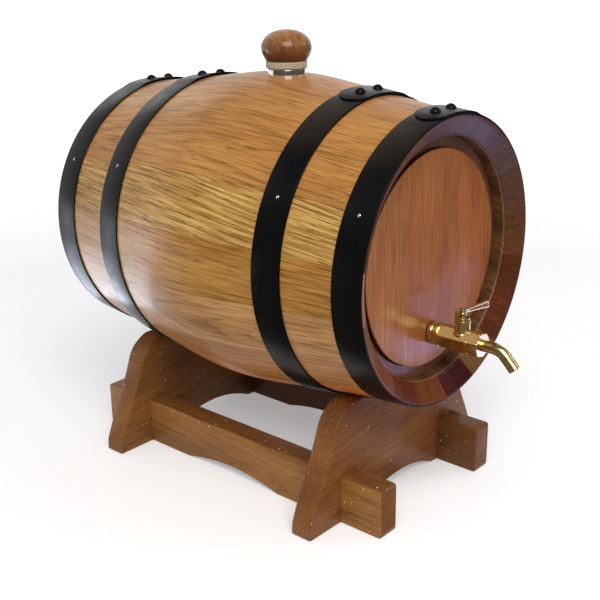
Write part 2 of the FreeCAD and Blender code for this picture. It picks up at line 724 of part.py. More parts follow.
def make_tap():
    return {
        "tap_washer": make_washer(),
        "tap_shank": make_shank(),
        "tap_lock_nut": make_lock_nut(),
        "tap_lock_ring": make_lock_ring(),
        "tap_body": make_body(),
        "tap_bonnet": make_bonnet(),
        "tap_outlet_nut": make_outlet_nut(),
        "tap_spout": make_spout(),
        "valve_plug": make_plug(),
        "valve_oring": make_oring(),
        "valve_lever": make_lever(),
        "valve_lever_screw": make_lever_screw(),
    }


def make_all():
    hung = {}
    hung.update(make_staves())
    hung.update(make_heads())
    hung.update(make_hoops())
    hung.update(make_tap())
    hung["bung_liner"] = make_liner()
    hung["bung_seal"] = make_seal()
    hung["bung_knob"] = make_knob()
    hung["bung_screw"] = make_bung_screw()
    for shape in hung.values():
        shape.translate(Vector(0, 0, AXIS_Z))
    hung.update(make_stand())
    return hung


def save(nodes):
    """Centre the whole part along Y and write each node."""
    whole = Part.makeCompound(list(nodes.values())).BoundBox
    shift = Vector(0, -(whole.YMin + whole.YMax) / 2, 0)
    for name, shape in nodes.items():
        shape.translate(shift)
        shape.exportStep("parts/" + name + ".step")
    print("shift along Y: %.3f, axis %.3f" % (shift.y, AXIS_Z))


save(make_all())
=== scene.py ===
import math

import bpy
import numpy as np
from mathutils import Matrix, Vector


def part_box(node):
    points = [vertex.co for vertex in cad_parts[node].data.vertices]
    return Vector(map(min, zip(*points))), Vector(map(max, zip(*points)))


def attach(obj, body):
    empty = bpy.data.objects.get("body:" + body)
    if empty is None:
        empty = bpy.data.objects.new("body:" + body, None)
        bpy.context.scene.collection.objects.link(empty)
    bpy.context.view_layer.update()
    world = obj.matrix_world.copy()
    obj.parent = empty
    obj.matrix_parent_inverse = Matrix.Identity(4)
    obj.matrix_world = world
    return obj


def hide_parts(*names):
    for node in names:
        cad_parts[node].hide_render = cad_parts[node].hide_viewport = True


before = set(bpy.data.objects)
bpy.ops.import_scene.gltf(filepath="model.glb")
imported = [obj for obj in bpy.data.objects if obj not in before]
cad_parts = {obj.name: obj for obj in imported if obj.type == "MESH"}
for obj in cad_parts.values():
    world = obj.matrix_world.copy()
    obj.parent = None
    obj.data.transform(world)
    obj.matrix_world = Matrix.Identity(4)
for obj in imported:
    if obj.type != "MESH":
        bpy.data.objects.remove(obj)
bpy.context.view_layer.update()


# ---- Studio: a pale table, soft lamps and the camera -------------------------
# The cask stands on a white table in a white room. A large softbox hangs to the
# front left and a smaller one fills from the right. Cards shape the reflections.

MM = 0.001
low_corner, high_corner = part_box("stave_bung")
MIDDLE_Y = (low_corner.y + high_corner.y) / 2 / MM

TABLE_HALF = 15.0         # lengths of the studio are in metres
TABLE_GREY = 0.74
TABLE_GLOW = 0.32
GLOW_START = 0.7          # from the cask
GLOW_END = 2.4
ROOM_LIGHT = 0.55
CEILING = 0.10
CEILING_START = 0.45      # upward part of the direction, where the white walls end
CEILING_END = 0.80
SOFTBOXES = [
    # name, place, aimed at, width, height, watts, tint
    ("softbox_key", (-0.9, -1.0, 1.7), (0, 0, 0.2), 1.2, 1.2, 30, "#FFFDF8"),
    ("softbox_right", (1.6, -1.3, 0.9), (0, 0, 0.2), 1.0, 1.0, 6, "#F4F0FF"),
]
HIGH_CARDS = [
    # name, place, aimed at, width, height, watts, tint: one over the cask, one far behind it
    ("card_over", (0.2, 0.6, 1.5), (0, 0, 0.3), 1.0, 0.8, 2.6, "#FFDDB8"),
    ("card_rear", (0.70, 2.16, 1.58), (0, 0.05, 0.33), 0.6, 0.6, 1.5, "#F6FFF0"),
]
CARD_Z = 0.004            # height of the cards that lie on the table
TABLE_CARDS = [
    # name, x, y, length, width, turn, watts, tint: a row that leads off to the rear left,
    # and two small lilac ones in front of the right foot
    ("card_near", -0.19, 0.46, 0.36, 0.16, 44, 0.95, "#E2EEFF"),
    ("card_middle", -0.57, 0.95, 0.70, 0.20, 61, 2.7, "#E4EFFF"),
    ("card_far", -1.15, 1.74, 0.50, 0.60, 55, 14.0, "#E8F0FF"),
    ("card_front", 0.42, -0.385, 0.30, 0.09, 0, 0.28, "#B0ACFF"),
    ("card_low", 0.235, -0.335, 0.20, 0.14, 0, 0.46, "#B4AEFF"),
]
BROWN_TOP = 1.15          # brown cards: a wall round the near sides, and two flat sheets
BROWN_WALL = [(-1.30, 1.35), (-1.30, -1.40), (1.60, -1.40), (1.60, -0.1)]
BROWN_LEFT = [(-1.30, -1.40), (-0.15, -1.40), (-0.15, 0.24), (-0.42, 0.33), (-1.30, 0.75)]
BROWN_RIGHT = [(-0.15, -1.40), (1.60, -1.40), (1.60, -0.32), (0.17, -0.32), (0.17, -0.20),
               (0.02, -0.20), (0.02, 0.10), (-0.08, 0.10), (-0.08, -0.14), (-0.15, -0.14)]
CAMERA_PLACE = (-0.64473, -0.57576, 0.44863)    # from the cask's middle, on the floor
CAMERA_ANGLES = (-49.0044, 19.5095, -0.7686)    # azimuth, elevation and roll in degrees
CAMERA_LENS = 60.97       # mm, on a 36 mm sensor


def add(tree, kind, inputs=None, stops=None, **settings):
    """Adds a shader node, gives it its settings, and sets its inputs or links them to a
    socket. A node stands for its own first output."""
    node = tree.nodes.new("ShaderNode" + kind)
    for name, value in settings.items():
        setattr(node, name, value)
    for key, value in (inputs or {}).items():
        if isinstance(value, bpy.types.Node):
            value = value.outputs[0]
        if isinstance(value, bpy.types.NodeSocket):
            tree.links.new(value, node.inputs[key])
        else:
            node.inputs[key].default_value = value
    if stops:
        elements = node.color_ramp.elements
        while len(elements) < len(stops):
            elements.new(0.5)
        for element, (place, colour) in zip(elements, stops):
            element.position = place
            element.color = colour
    return node


def linear(text):
    """sRGB hex to linear: c / 12.92 up to 0.04045, else ((c + 0.055) / 1.055) ** 2.4."""
    shown = np.array([int(text[i:i + 2], 16) for i in (1, 3, 5)]) / 255
    light = np.where(shown <= 0.04045, shown / 12.92, ((shown + 0.055) / 1.055) ** 2.4)
    return (*light, 1.0)


def new_material(name):
    """Empty material and its node tree."""
    material = bpy.data.materials.new(name)
    material.use_nodes = True
    material.node_tree.nodes.clear()
    return material, material.node_tree


def add_softbox(name, place, target, width, height, watts, tint, turn=0, lights_object=True):
    """A soft lamp, turned round its own axis by turn degrees. One that doesn't light the
    object is a bright card: it only shows as a reflection in lacquer, enamel and metal."""
    lamp = bpy.data.lights.new(name, "AREA")
    lamp.shape = "RECTANGLE"
    lamp.size = width
    lamp.size_y = height
    lamp.energy = watts
    lamp.color = linear(tint)[:3]
    box = bpy.data.objects.new(name, lamp)
    box.location = place
    aim = (Vector(target) - Vector(place)).to_track_quat("-Z", "Y").to_matrix().to_4x4()
    box.rotation_euler = (aim @ Matrix.Rotation(math.radians(turn), 4, "Z")).to_euler()
    box.visible_camera = False
    box.visible_diffuse = lights_object
    bpy.context.scene.collection.objects.link(box)


def seen_rays(tree):
    """1 for camera, mirror and glass rays, 0 for the light that falls on the object."""
    path = add(tree, "LightPath").outputs
    seen = add(tree, "Math", {0: path["Is Camera Ray"], 1: path["Is Glossy Ray"]}, operation="ADD")
    return add(tree, "Math", {0: seen, 1: path["Is Transmission Ray"]}, operation="ADD", use_clamp=True)


def build_table():
    """A flat square. Its own glow, which lights nothing, grows with the distance from the
    cask from TABLE_GLOW to full white, so that the far table runs into the white room."""
    mesh = bpy.data.meshes.new("table_top")
    half = TABLE_HALF
    corners = [(-half, -half, 0), (half, -half, 0), (half, half, 0), (-half, half, 0)]
    mesh.from_pydata(corners, [], [(0, 1, 2, 3)])
    table = bpy.data.objects.new("table_top", mesh)
    bpy.context.scene.collection.objects.link(table)
    material, tree = new_material("white laminate table")
    matt = add(tree, "BsdfDiffuse", {"Color": (TABLE_GREY, TABLE_GREY, TABLE_GREY, 1)})
    place = add(tree, "TexCoord").outputs["Object"]
    away = add(tree, "VectorMath", {0: place}, operation="LENGTH")
    level = add(tree, "MapRange", {"Value": away.outputs["Value"], "From Min": GLOW_START,
                                   "From Max": GLOW_END, "To Min": TABLE_GLOW, "To Max": 1.0})
    glow = add(tree, "Emission", {"Color": (1, 1, 1, 1), "Strength": level})
    dark = add(tree, "Emission", {"Strength": 0.0})
    lift = add(tree, "MixShader", {0: seen_rays(tree), 1: dark, 2: glow})
    both = add(tree, "AddShader", {0: matt, 1: lift})
    add(tree, "OutputMaterial", {"Surface": both})
    mesh.materials.append(material)


def light_room():
    """White round the horizon, a dim ceiling overhead, two softboxes and the bright cards."""
    world = bpy.data.worlds.new("white room")
    world.use_nodes = True
    tree = world.node_tree
    tree.nodes.clear()
    way = add(tree, "SeparateXYZ", {0: add(tree, "TexCoord").outputs["Generated"]})
    height = add(tree, "MapRange", {"Value": way.outputs["Z"], "From Min": CEILING_START,
                                    "From Max": CEILING_END, "To Min": 1.0, "To Max": CEILING})
    dim = add(tree, "Background", {"Color": linear("#FAFAFF"), "Strength": ROOM_LIGHT})
    bright = add(tree, "Background", {"Color": (1, 1, 1, 1), "Strength": height})
    both = add(tree, "MixShader", {0: seen_rays(tree), 1: dim, 2: bright})
    add(tree, "OutputWorld", {"Surface": both})
    bpy.context.scene.world = world
    for softbox in SOFTBOXES:
        add_softbox(*softbox)
    for name, x, y, length, width, turn, watts, tint in TABLE_CARDS:
        add_softbox(name, (x, y, CARD_Z), (x, y, 1), length, width, watts, tint, turn, False)
    for card in HIGH_CARDS:
        add_softbox(*card, lights_object=False)


def stand_brown_cards():
    """Brown card lies round the near side of the cask and stands behind the camera. Only
    reflections find it: it keeps lacquer and enamel deep, and throws no shadow."""
    corners = [(x, y, CARD_Z) for x, y in BROWN_LEFT + BROWN_RIGHT]
    corners += [(x, y, z) for z in (0, BROWN_TOP) for x, y in BROWN_WALL]
    left, flat, wall = len(BROWN_LEFT), len(BROWN_LEFT + BROWN_RIGHT), len(BROWN_WALL)
    sheets = [tuple(range(left)), tuple(range(left, flat))]
    sheets += [(i, i + 1, i + 1 + wall, i + wall) for i in range(flat, flat + wall - 1)]
    mesh = bpy.data.meshes.new("brown_cards")
    mesh.from_pydata(corners, [], sheets)
    cards = bpy.data.objects.new("brown_cards", mesh)
    material, tree = new_material("brown card")
    matt = add(tree, "BsdfDiffuse", {"Color": linear("#6E645A")})
    add(tree, "OutputMaterial", {"Surface": matt})
    mesh.materials.append(material)
    cards.visible_camera = False
    cards.visible_diffuse = False
    cards.visible_shadow = False
    bpy.context.scene.collection.objects.link(cards)


def aim_camera():
    """Turned round z by its azimuth, down from level by its elevation, then rolled."""
    camera = bpy.data.cameras.new("camera")
    camera.sensor_width = 36.0
    camera.lens = CAMERA_LENS
    camera.clip_start = 0.01
    body = bpy.data.objects.new("camera", camera)
    azimuth, elevation, roll = [math.radians(angle) for angle in CAMERA_ANGLES]
    turn = Matrix.Rotation(azimuth, 4, "Z") @ Matrix.Rotation(math.pi / 2 - elevation, 4, "X")
    turn = turn @ Matrix.Rotation(roll, 4, "Z")
    place = Vector((0, MIDDLE_Y * MM, 0)) + Vector(CAMERA_PLACE)
    body.matrix_world = Matrix.Translation(place) @ turn
    bpy.context.scene.collection.objects.link(body)
    bpy.context.scene.camera = body


build_table()
light_room()
stand_brown_cards()
aim_camera()
bpy.context.scene.view_settings.view_transform = "Standard"


# ---- Staves: seventeen bent oak boards ---------------------------------------
# Kiln-dried oak, planed, jointed and pulled together by the hoops, then turned,
# bevelled and grooved at both ends as one, and sprayed with a glossy lacquer.

low_corner, high_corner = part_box("head_rear_middle")
AXIS_Z = (low_corner.z + high_corner.z) / 2 / MM

HALF = 172.0              # lengths of the object are in millimetres
WOOD_Y = np.array([-172, -146.3, -102.6, -77.2, 0, 77.2, 102.6, 146.3, 172])
WOOD_R = np.array([113.9, 116.5, 122.2, 125.7, 134.15, 125.7, 122.2, 116.5, 113.9])
CHIME_LAND = 0.8
WALL_R = 97.3
RIM_Y = 161.0             # where the bevel meets the wall
LIP_Y = 150.2
HEAD_IN_Y = 142.2
CROZE_R = 102.3
INNER_BILGE_R = 115.7
BEVEL_POINTS = 7
WALL_POINTS = 4
PLAIN_STAVES = 16
BUNG_STAVE_ANGLE = 34.8
STAVE_SWING = 1.5
EDGE_ROUND = 0.12         # radius of a stave's long edges
EDGE_TURN = 0.12          # degrees from a stave's edge to where its even faces start
MEAN_R = 130.0            # mean radius, for widths across a stave
CREASE = 35.0             # degrees past which an edge is shaded sharp
BUNG_Y = -4.2


def natural_curve(at, knots, values):
    """Natural cubic spline: cubics that share value, slope and bend at each knot,
    with no bend at the two ends."""
    gaps = np.diff(knots)
    steps = np.diff(values) / gaps
    inner = np.arange(1, len(knots) - 1)
    system = np.eye(len(knots))
    system[inner, inner - 1] = gaps[:-1]
    system[inner, inner] = 2 * (gaps[:-1] + gaps[1:])
    system[inner, inner + 1] = gaps[1:]
    right = np.zeros(len(knots))
    right[inner] = 6 * np.diff(steps)
    bend = np.linalg.solve(system, right)
    span = np.clip(np.searchsorted(knots, at) - 1, 0, len(knots) - 2)
    past = at - knots[span]
    gap = gaps[span]
    slope = steps[span] - gap * (2 * bend[span] + bend[span + 1]) / 6
    cubic = (bend[span + 1] - bend[span]) / (6 * gap)
    return values[span] + past * slope + past ** 2 * bend[span] / 2 + past ** 3 * cubic


def wood_radius(y):
    """Outside of the bare wood: a natural spline through WOOD_R at WOOD_Y."""
    return natural_curve(np.asarray(y, float), WOOD_Y, WOOD_R)


def on_cask(radius, angle, y):
    """Cask coordinates to the frame: x = r cos a, y along the cask, z = axis + r sin a.
    Angles in degrees, lengths in millimetres."""
    turn = np.radians(angle)
    radius, turn, y = np.broadcast_arrays(radius, turn, y)
    return np.stack([radius * np.cos(turn), y + MIDDLE_Y, AXIS_Z + radius * np.sin(turn)], -1)


def grid_faces(rows, columns, close_rows, close_columns):
    """Quads that join each grid point to the next in its row and column."""
    row = np.arange(rows if close_rows else rows - 1)
    column = np.arange(columns if close_columns else columns - 1)
    row, column = np.meshgrid(row, column, indexing="ij")
    next_row = (row + 1) % rows
    next_column = (column + 1) % columns
    corners = [row * columns + column, next_row * columns + column]
    corners += [next_row * columns + next_column, row * columns + next_column]
    return np.stack(corners, -1).reshape(-1, 4)


def outward(points, faces):
    """Reverses the faces where the closed surface's volume comes out negative."""
    total = 0.0
    for face in faces:
        corner = points[list(face)]
        total += np.einsum("j,ij->", corner[0], np.cross(corner[1:-1], corner[2:]))
    return [face[::-1] for face in faces] if total < 0 else faces


def finish_piece(name, shell, body, node, material, grain=None):
    """Makes the piece from a shell, its points in millimetres and its faces, and gives it
    its finish and its body."""
    points = np.asarray(shell[0], float).reshape(-1, 3)
    faces = outward(points, [tuple(int(i) for i in face) for face in shell[1]])
    mesh = bpy.data.meshes.new(name)
    mesh.from_pydata(points * MM, [], faces)
    mesh.polygons.foreach_set("use_smooth", np.ones(len(faces), bool))
    mesh.set_sharp_from_angle(angle=math.radians(CREASE))
    if grain is not None:
        layer = mesh.attributes.new("grain", "FLOAT_VECTOR", "POINT")
        layer.data.foreach_set("vector", (np.asarray(grain, float).reshape(-1, 3) * MM).ravel())
    mesh.materials.append(material)
    piece = bpy.data.objects.new(name, mesh)
    bpy.context.scene.collection.objects.link(piece)
    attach(piece, body)
    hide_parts(node)
    return piece


def add_finishes(piece, materials, finish):
    """Gives the piece more materials, and each face the one that finish counts out."""
    for material in materials:
        piece.data.materials.append(material)
    piece.data.polygons.foreach_set("material_index", np.asarray(finish, np.int32))


def oak(name, light, middle, dark, pith, lean, seed, spacing=4.2, figure=0.35, pores=0.6,
        streaks=0.3, slope=0.0, coat=(0.4, 0.16), chips=0.0):
    """Plain-sawn oak under lacquer. Growth rings are tubes round the pith, which lies off
    the board at pith (across, deep) in mm and leans lean mm per 100 mm, so that the
    board's face cuts them into long arches, each with a thin dark line where the year
    starts. Fibres show as threads 0.8 mm wide and 25 mm long, in bands 3 mm wide. Lone
    pores are dashes 0.8 mm wide, three times life, because finer ones would not show.
    Chips are the few bare specks, about 1 mm across, where handling has broken the film."""
    material, tree = new_material(name)
    attribute = add(tree, "Attribute", attribute_name="grain")
    grain = add(tree, "Mapping", {"Vector": attribute.outputs["Vector"],
                                  "Rotation": (0, 0, math.radians(slope))})
    shifted = add(tree, "VectorMath", {0: grain, 1: (seed, seed, seed)}, operation="ADD")
    noise = {}
    for word, scale, detail in (("sway", (24, 6, 24), 2.0), ("cloud", (36, 7, 36), 2.0),
                                ("band", (200, 7, 200), 2.0), ("thread", (640, 22, 640), 1.0),
                                ("dash", (800, 64, 800), 1.0), ("ripple", (70, 25, 70), 1.0)):
        space = add(tree, "Mapping", {"Vector": shifted, "Scale": scale})
        noise[word] = add(tree, "TexNoise", {"Vector": space, "Scale": 1.0, "Detail": detail})
    swing = add(tree, "VectorMath", {0: noise["sway"].outputs["Color"], 1: (0.5, 0.5, 0.5)},
                operation="SUBTRACT")
    swing = add(tree, "VectorMath", {0: swing, 1: (0.016, 0, 0.016)}, operation="MULTIPLY")
    swung = add(tree, "VectorMath", {0: grain, 1: swing}, operation="ADD")
    leaning = add(tree, "Mapping", {"Vector": swung, "Location": (-pith[0] * MM, 0, pith[1] * MM),
                                    "Rotation": (math.atan(lean / 100), 0, 0)})
    flat = add(tree, "VectorMath", {0: leaning, 1: (1, 0, 1)}, operation="MULTIPLY")
    from_pith = add(tree, "VectorMath", {0: flat}, operation="LENGTH").outputs["Value"]
    years = add(tree, "Math", {0: from_pith, 1: 1 / (spacing * MM)}, operation="MULTIPLY")
    season = add(tree, "Math", {0: years}, operation="FRACT")
    ring = add(tree, "ValToRGB", {0: season},
               stops=[(0.0, (1, 1, 1, 1)), (0.12, (0.6, 0.6, 0.6, 1)), (0.35, (0.2, 0.2, 0.2, 1)),
                      (0.7, (0, 0, 0, 1)), (0.92, (0.12, 0.12, 0.12, 1)), (1.0, (1, 1, 1, 1))])
    broken = add(tree, "MapRange", {"Value": noise["band"], "From Min": 0.38, "From Max": 0.58,
                                    "To Min": 0.2 * figure, "To Max": figure})
    line = add(tree, "Math", {0: ring, 1: broken}, operation="MULTIPLY")
    wide = add(tree, "MapRange", {"Value": noise["band"], "From Min": 0.36, "From Max": 0.64,
                                  "To Min": -0.28 * streaks, "To Max": 0.28 * streaks})
    fine = add(tree, "MapRange", {"Value": noise["thread"], "From Min": 0.40, "From Max": 0.60,
                                  "To Min": -0.6 * streaks, "To Max": 0.6 * streaks})
    fibres = add(tree, "Math", {0: wide, 1: fine}, operation="ADD")
    tone = add(tree, "Math", {0: noise["cloud"], 1: 0.8, 2: fibres}, operation="MULTIPLY_ADD")
    tone = add(tree, "Math", {0: tone, 1: 0.14}, operation="ADD")
    tone = add(tree, "Math", {0: tone, 1: line}, operation="SUBTRACT")
    colour = add(tree, "ValToRGB", {0: tone},
                 stops=[(0.0, linear(dark)), (0.5, linear(middle)), (1.0, linear(light))])
    dash = add(tree, "MapRange", {"Value": noise["dash"], "From Min": 0.61,
                                  "From Max": 0.66, "To Max": pores})
    crowd = add(tree, "MapRange", {"Value": ring, "From Max": 0.6, "To Min": 0.4})
    opened = add(tree, "Math", {0: dash, 1: crowd}, operation="MULTIPLY")
    filled = add(tree, "Mix", {0: opened, 6: colour, 7: linear(dark)}, data_type="RGBA")
    if chips:
        spread = add(tree, "TexNoise", {"Vector": shifted, "Scale": 420.0, "Detail": 0.0})
        bare = add(tree, "MapRange", {"Value": spread, "From Min": 1 - chips,
                                      "From Max": 1.02 - chips})
        filled = add(tree, "Mix", {0: bare, 6: filled.outputs[2], 7: linear("#D8CDBE")}, data_type="RGBA")
    depth = add(tree, "Math", {0: fibres, 1: opened}, operation="SUBTRACT")
    grooves = add(tree, "Bump", {"Strength": 0.3, "Distance": 0.0005, "Height": depth})
    skin = add(tree, "Bump", {"Strength": 0.2, "Distance": 0.0008, "Normal": grooves,
                              "Height": noise["ripple"]})
    lacquered = add(tree, "BsdfPrincipled", {"Base Color": filled.outputs[2], "Roughness": 0.5,
                                             "Specular IOR Level": 0.1, "Coat Weight": coat[0],
                                             "Coat Roughness": coat[1], "Normal": grooves,
                                             "Coat Normal": skin})
    add(tree, "OutputMaterial", {"Surface": lacquered})
    return material


def end_grain(name, colour, seed):
    """Sawn oak ends: open pores drink the lacquer, so they are darker, and saw lines run
    across them from the middle of the cask outwards."""
    material, tree = new_material(name)
    grain = add(tree, "Attribute", attribute_name="grain").outputs["Vector"]
    shifted = add(tree, "VectorMath", {0: grain, 1: (seed, seed, seed)}, operation="ADD")
    saw_space = add(tree, "Mapping", {"Vector": shifted, "Scale": (420, 40, 40)})
    saw = add(tree, "TexNoise", {"Vector": saw_space, "Scale": 1.0, "Detail": 3.0})
    speck_space = add(tree, "Mapping", {"Vector": shifted, "Scale": (600, 600, 600)})
    speck = add(tree, "TexNoise", {"Vector": speck_space, "Scale": 1.0, "Detail": 2.0})
    both = add(tree, "Math", {0: saw, 1: speck}, operation="ADD")
    tone = add(tree, "MapRange", {"Value": both, "From Min": 0.7, "From Max": 1.3,
                                  "To Min": 0.6, "To Max": 1.4})
    shade = add(tree, "VectorMath", {0: linear(colour)[:3], "Scale": tone}, operation="SCALE")
    marks = add(tree, "Bump", {"Strength": 0.2, "Distance": 0.0004, "Height": both})
    lacquered = add(tree, "BsdfPrincipled", {"Base Color": shade, "Roughness": 0.5,
                                             "Specular IOR Level": 0.1, "Coat Weight": 0.25,
                                             "Coat Roughness": 0.25, "Normal": marks})
    add(tree, "OutputMaterial", {"Surface": lacquered})
    return material


def joint_angle(index):
    """Even spacing round the cask, with a slow wander of up to STAVE_SWING degrees."""
    pitch = (360 - BUNG_STAVE_ANGLE) / PLAIN_STAVES
    wander = STAVE_SWING * math.sin(2 * math.pi * index / PLAIN_STAVES)
    return 90 + BUNG_STAVE_ANGLE / 2 + index * pitch + wander


WINDOW_HALF = 22.0        # half the square of finer faces round the bung hole
WINDOW_STEPS = 16
WINDOW_FIRST = 50         # steps along the stave in front of that square
OUTER_Y = np.concatenate([np.linspace(-HALF, BUNG_Y - WINDOW_HALF, WINDOW_FIRST + 1),
                          np.linspace(BUNG_Y - WINDOW_HALF, BUNG_Y + WINDOW_HALF, WINDOW_STEPS + 1)[1:-1],
                          np.linspace(BUNG_Y + WINDOW_HALF, HALF, 53)])
INNER_Y = OUTER_Y[np.abs(OUTER_Y) < HEAD_IN_Y - 1][::-1]


def belly_radius(y):
    """Inside of the staves: an arc drawn as a parabola from head to head."""
    return WALL_R + (INNER_BILGE_R - WALL_R) * (1 - (y / HEAD_IN_Y) ** 2)


def stave_section():
    """Lengthwise loop as (y, radius): bellied outside, bevelled chimes, croze grooves."""
    outer = np.stack([OUTER_Y, wood_radius(OUTER_Y)], -1)
    end_r = outer[0, 1] - CHIME_LAND
    arris = np.array([[RIM_Y + 0.25, WALL_R + 0.4], [RIM_Y - 0.5, WALL_R]])
    bevel = np.linspace([HALF, end_r], arris[0], BEVEL_POINTS)
    wall = np.linspace(arris[1], [LIP_Y, WALL_R], WALL_POINTS)
    croze = np.array([[LIP_Y, CROZE_R], [HEAD_IN_Y, CROZE_R], [HEAD_IN_Y, WALL_R]])
    end = np.concatenate([bevel, wall, croze])
    inner = np.stack([INNER_Y, belly_radius(INNER_Y)], -1)
    return np.concatenate([outer, end, inner, end[::-1] * [-1, 1]])


SECTION = stave_section()


def section_finishes():
    """The finish of each face round the section's loop: 0 lacquered, 1 sawn end, 2 chime
    wall, 3 the arris between them. The end of the outside, which the hoop covers, is
    finished with the bevel, and the two ends of the stave mirror each other."""
    finish = np.zeros(len(SECTION), int)
    first = len(OUTER_Y) - 2
    arris = first + BEVEL_POINTS + 1
    finish[first:arris] = 1
    finish[arris] = 3
    finish[arris + 1:arris + WALL_POINTS] = 2
    mirrored = (first - np.arange(len(SECTION))) % len(SECTION)
    return np.maximum(finish, finish[mirrored])


def stave_turns(sweep, inside):
    """Angles across a stave and how far the outside drops at each: the long edges are
    rounded off in two steps."""
    arc = np.degrees(EDGE_ROUND / MEAN_R)
    turns = np.concatenate([[0, arc * 0.3], inside, [sweep - arc * 0.3, sweep]])
    drop = np.zeros(len(turns))
    drop[[0, -1]] = EDGE_ROUND
    drop[[1, -2]] = EDGE_ROUND * 0.3
    return turns, drop


def stave_grain(points, middle_angle):
    """Places within a stave: across its width, along its length, and down into it from its
    bent face, because the fibres were bent with the board."""
    x, z = points[..., 0], points[..., 2] - AXIS_Z
    turn = np.radians(middle_angle)
    across = np.arctan2(z * np.cos(turn) - x * np.sin(turn), x * np.cos(turn) + z * np.sin(turn))
    y = points[..., 1] - MIDDLE_Y
    return np.stack([across * MEAN_R, y, wood_radius(y) - np.hypot(x, z)], -1)


def stave_shell(start, sweep, inside):
    """The section's loop carried round the cask by each of the stave's turns."""
    turns, drop = stave_turns(sweep, inside)
    y, radius = SECTION[:, 0], SECTION[:, 1]
    outside = np.arange(len(y)) < len(OUTER_Y)
    shape = radius[None, :] - drop[:, None] * outside[None, :]
    points = on_cask(shape, start + turns[:, None], y[None, :])
    rows, columns = shape.shape
    faces = grid_faces(rows, columns, False, True)
    finishes = section_finishes()[faces[:, 0] % columns]
    caps = [list(range(columns)), list(range((rows - 1) * columns, rows * columns))[::-1]]
    return points, faces, finishes, caps


wall_oak = oak("thinly lacquered oak, chime walls", "#6E4A2A", "#55361E", "#362110", (30, 60), 3.0, 5.1,
               figure=0.3, pores=0.8, streaks=0.3, coat=(0.2, 0.25))
# The thin arris between bevel and chime wall is painted paler than both: a painted highlight along the rim.
arris_highlight_oak = end_grain("oak arris with painted highlight", "#7E5C46", 5.1)


def finish_stave(name, node, points, faces, finishes, start, sweep, lacquered, ends):
    """Gives a stave's shell its grain, its body and the finish of each face."""
    grain = stave_grain(points, start + sweep / 2)
    stave = finish_piece(name, (points, faces), "cask", node, lacquered, grain)
    add_finishes(stave, (ends, wall_oak, arris_highlight_oak), finishes)


STAVE_LOOKS = [
    # light, middle, dark, bevel, pith (across, deep), lean, figure, pores, streaks, slope
    ("#BE8E4A", "#A36F32", "#6E4316", "#593627", (22, 46), 5.0, 0.28, 0.7, 0.26, -2),
    ("#C29150", "#A67236", "#6E4318", "#593223", (3, 20), 6.5, 0.42, 0.8, 0.24, -3),
    ("#D5B06A", "#AF8441", "#6E4918", "#41231E", (52, 40), 3.0, 0.45, 1.0, 0.36, -7),
    # Stave 4's pale pinkish bevel: the sawn end's brown, partly lightened as a painted sheen on that near
    # edge-on end.
    ("#C2914B", "#A67534", "#6F441A", "#93655C", (44, 50), 2.0, 0.28, 0.6, 0.34, -3),
    ("#D5A46E", "#B88853", "#815633", "#6F4331", (3, 18), 6.0, 0.40, 0.6, 0.24, -1),
    ("#CE9558", "#AF7740", "#794A27", "#71381C", (30, 46), 4.0, 0.30, 0.6, 0.24, 0),
    # Stave 7 lies low on the shaded side: its colours are raised there as painted light.
    ("#EF9642", "#CA742D", "#88471B", "#5A2305", (-20, 42), 4.0, 0.30, 0.6, 0.24, 0),
    ("#B67C40", "#965929", "#683818", "#663204", (22, 40), -4.0, 0.30, 0.6, 0.24, 0),
    ("#AC733E", "#8C5527", "#643517", "#440E00", (14, 44), 3.4, 0.30, 0.6, 0.24, 0),
    ("#A86A3E", "#874D28", "#5E3016", "#6A4821", (-32, 50), 1.6, 0.28, 0.6, 0.24, 0),
    ("#AC6C40", "#8B4F2C", "#62341A", "#58280D", (18, 38), 3.0, 0.30, 0.6, 0.24, 0),
    ("#B07443", "#8F562F", "#64381D", "#4E250B", (-16, 46), -3.0, 0.30, 0.6, 0.24, 0),
    ("#AC8048", "#8B6433", "#61421D", "#593414", (36, 54), 1.8, 0.28, 0.6, 0.24, 0),
    ("#B07646", "#91582F", "#66391E", "#55351F", (12, 40), 3.0, 0.30, 0.6, 0.24, 0),
    ("#BA804B", "#9B6335", "#6F4121", "#52362B", (-24, 44), 2.4, 0.30, 0.6, 0.24, 0),
    ("#C0894F", "#A26C37", "#724621", "#4D2C2A", (20, 38), -2.6, 0.32, 0.6, 0.24, 0),
]

for number, look in enumerate(STAVE_LOOKS, 1):
    light, middle, dark, bevel, pith, lean, figure, pores, streaks, slope = look
    seed = 0.7 * number
    lacquered = oak("lacquered oak, stave %d" % number, light, middle, dark, pith, lean, seed,
                    figure=figure, pores=pores, streaks=streaks, slope=slope)
    ends = end_grain("sawn oak end, stave %d" % number, bevel, seed)
    start = joint_angle(number - 1)
    sweep = joint_angle(number) - start
    inside = np.linspace(EDGE_TURN, sweep - EDGE_TURN, 13)
    points, faces, finishes, caps = stave_shell(start, sweep, inside)
    finish_stave("oak_stave_%02d" % number, "stave_%02d" % number, points, faces.tolist() + caps,
                 finishes.tolist() + [0, 0], start, sweep, lacquered, ends)


# ---- Bung stave: the widest board, with the bung hole ------------------------
# One wide oak board at the top, bored through at mid length for the steel liner.
# Its width leaves sound wood on both sides of the hole.

LINER_R = 16.2
CROZE_POINTS = 3
END_POINTS = BEVEL_POINTS + WALL_POINTS + CROZE_POINTS
WINDOW_TURN = 9.5         # degrees each side of the top that the finer faces reach
RIM_RINGS = 4             # rows of faces between the hole and the square round it


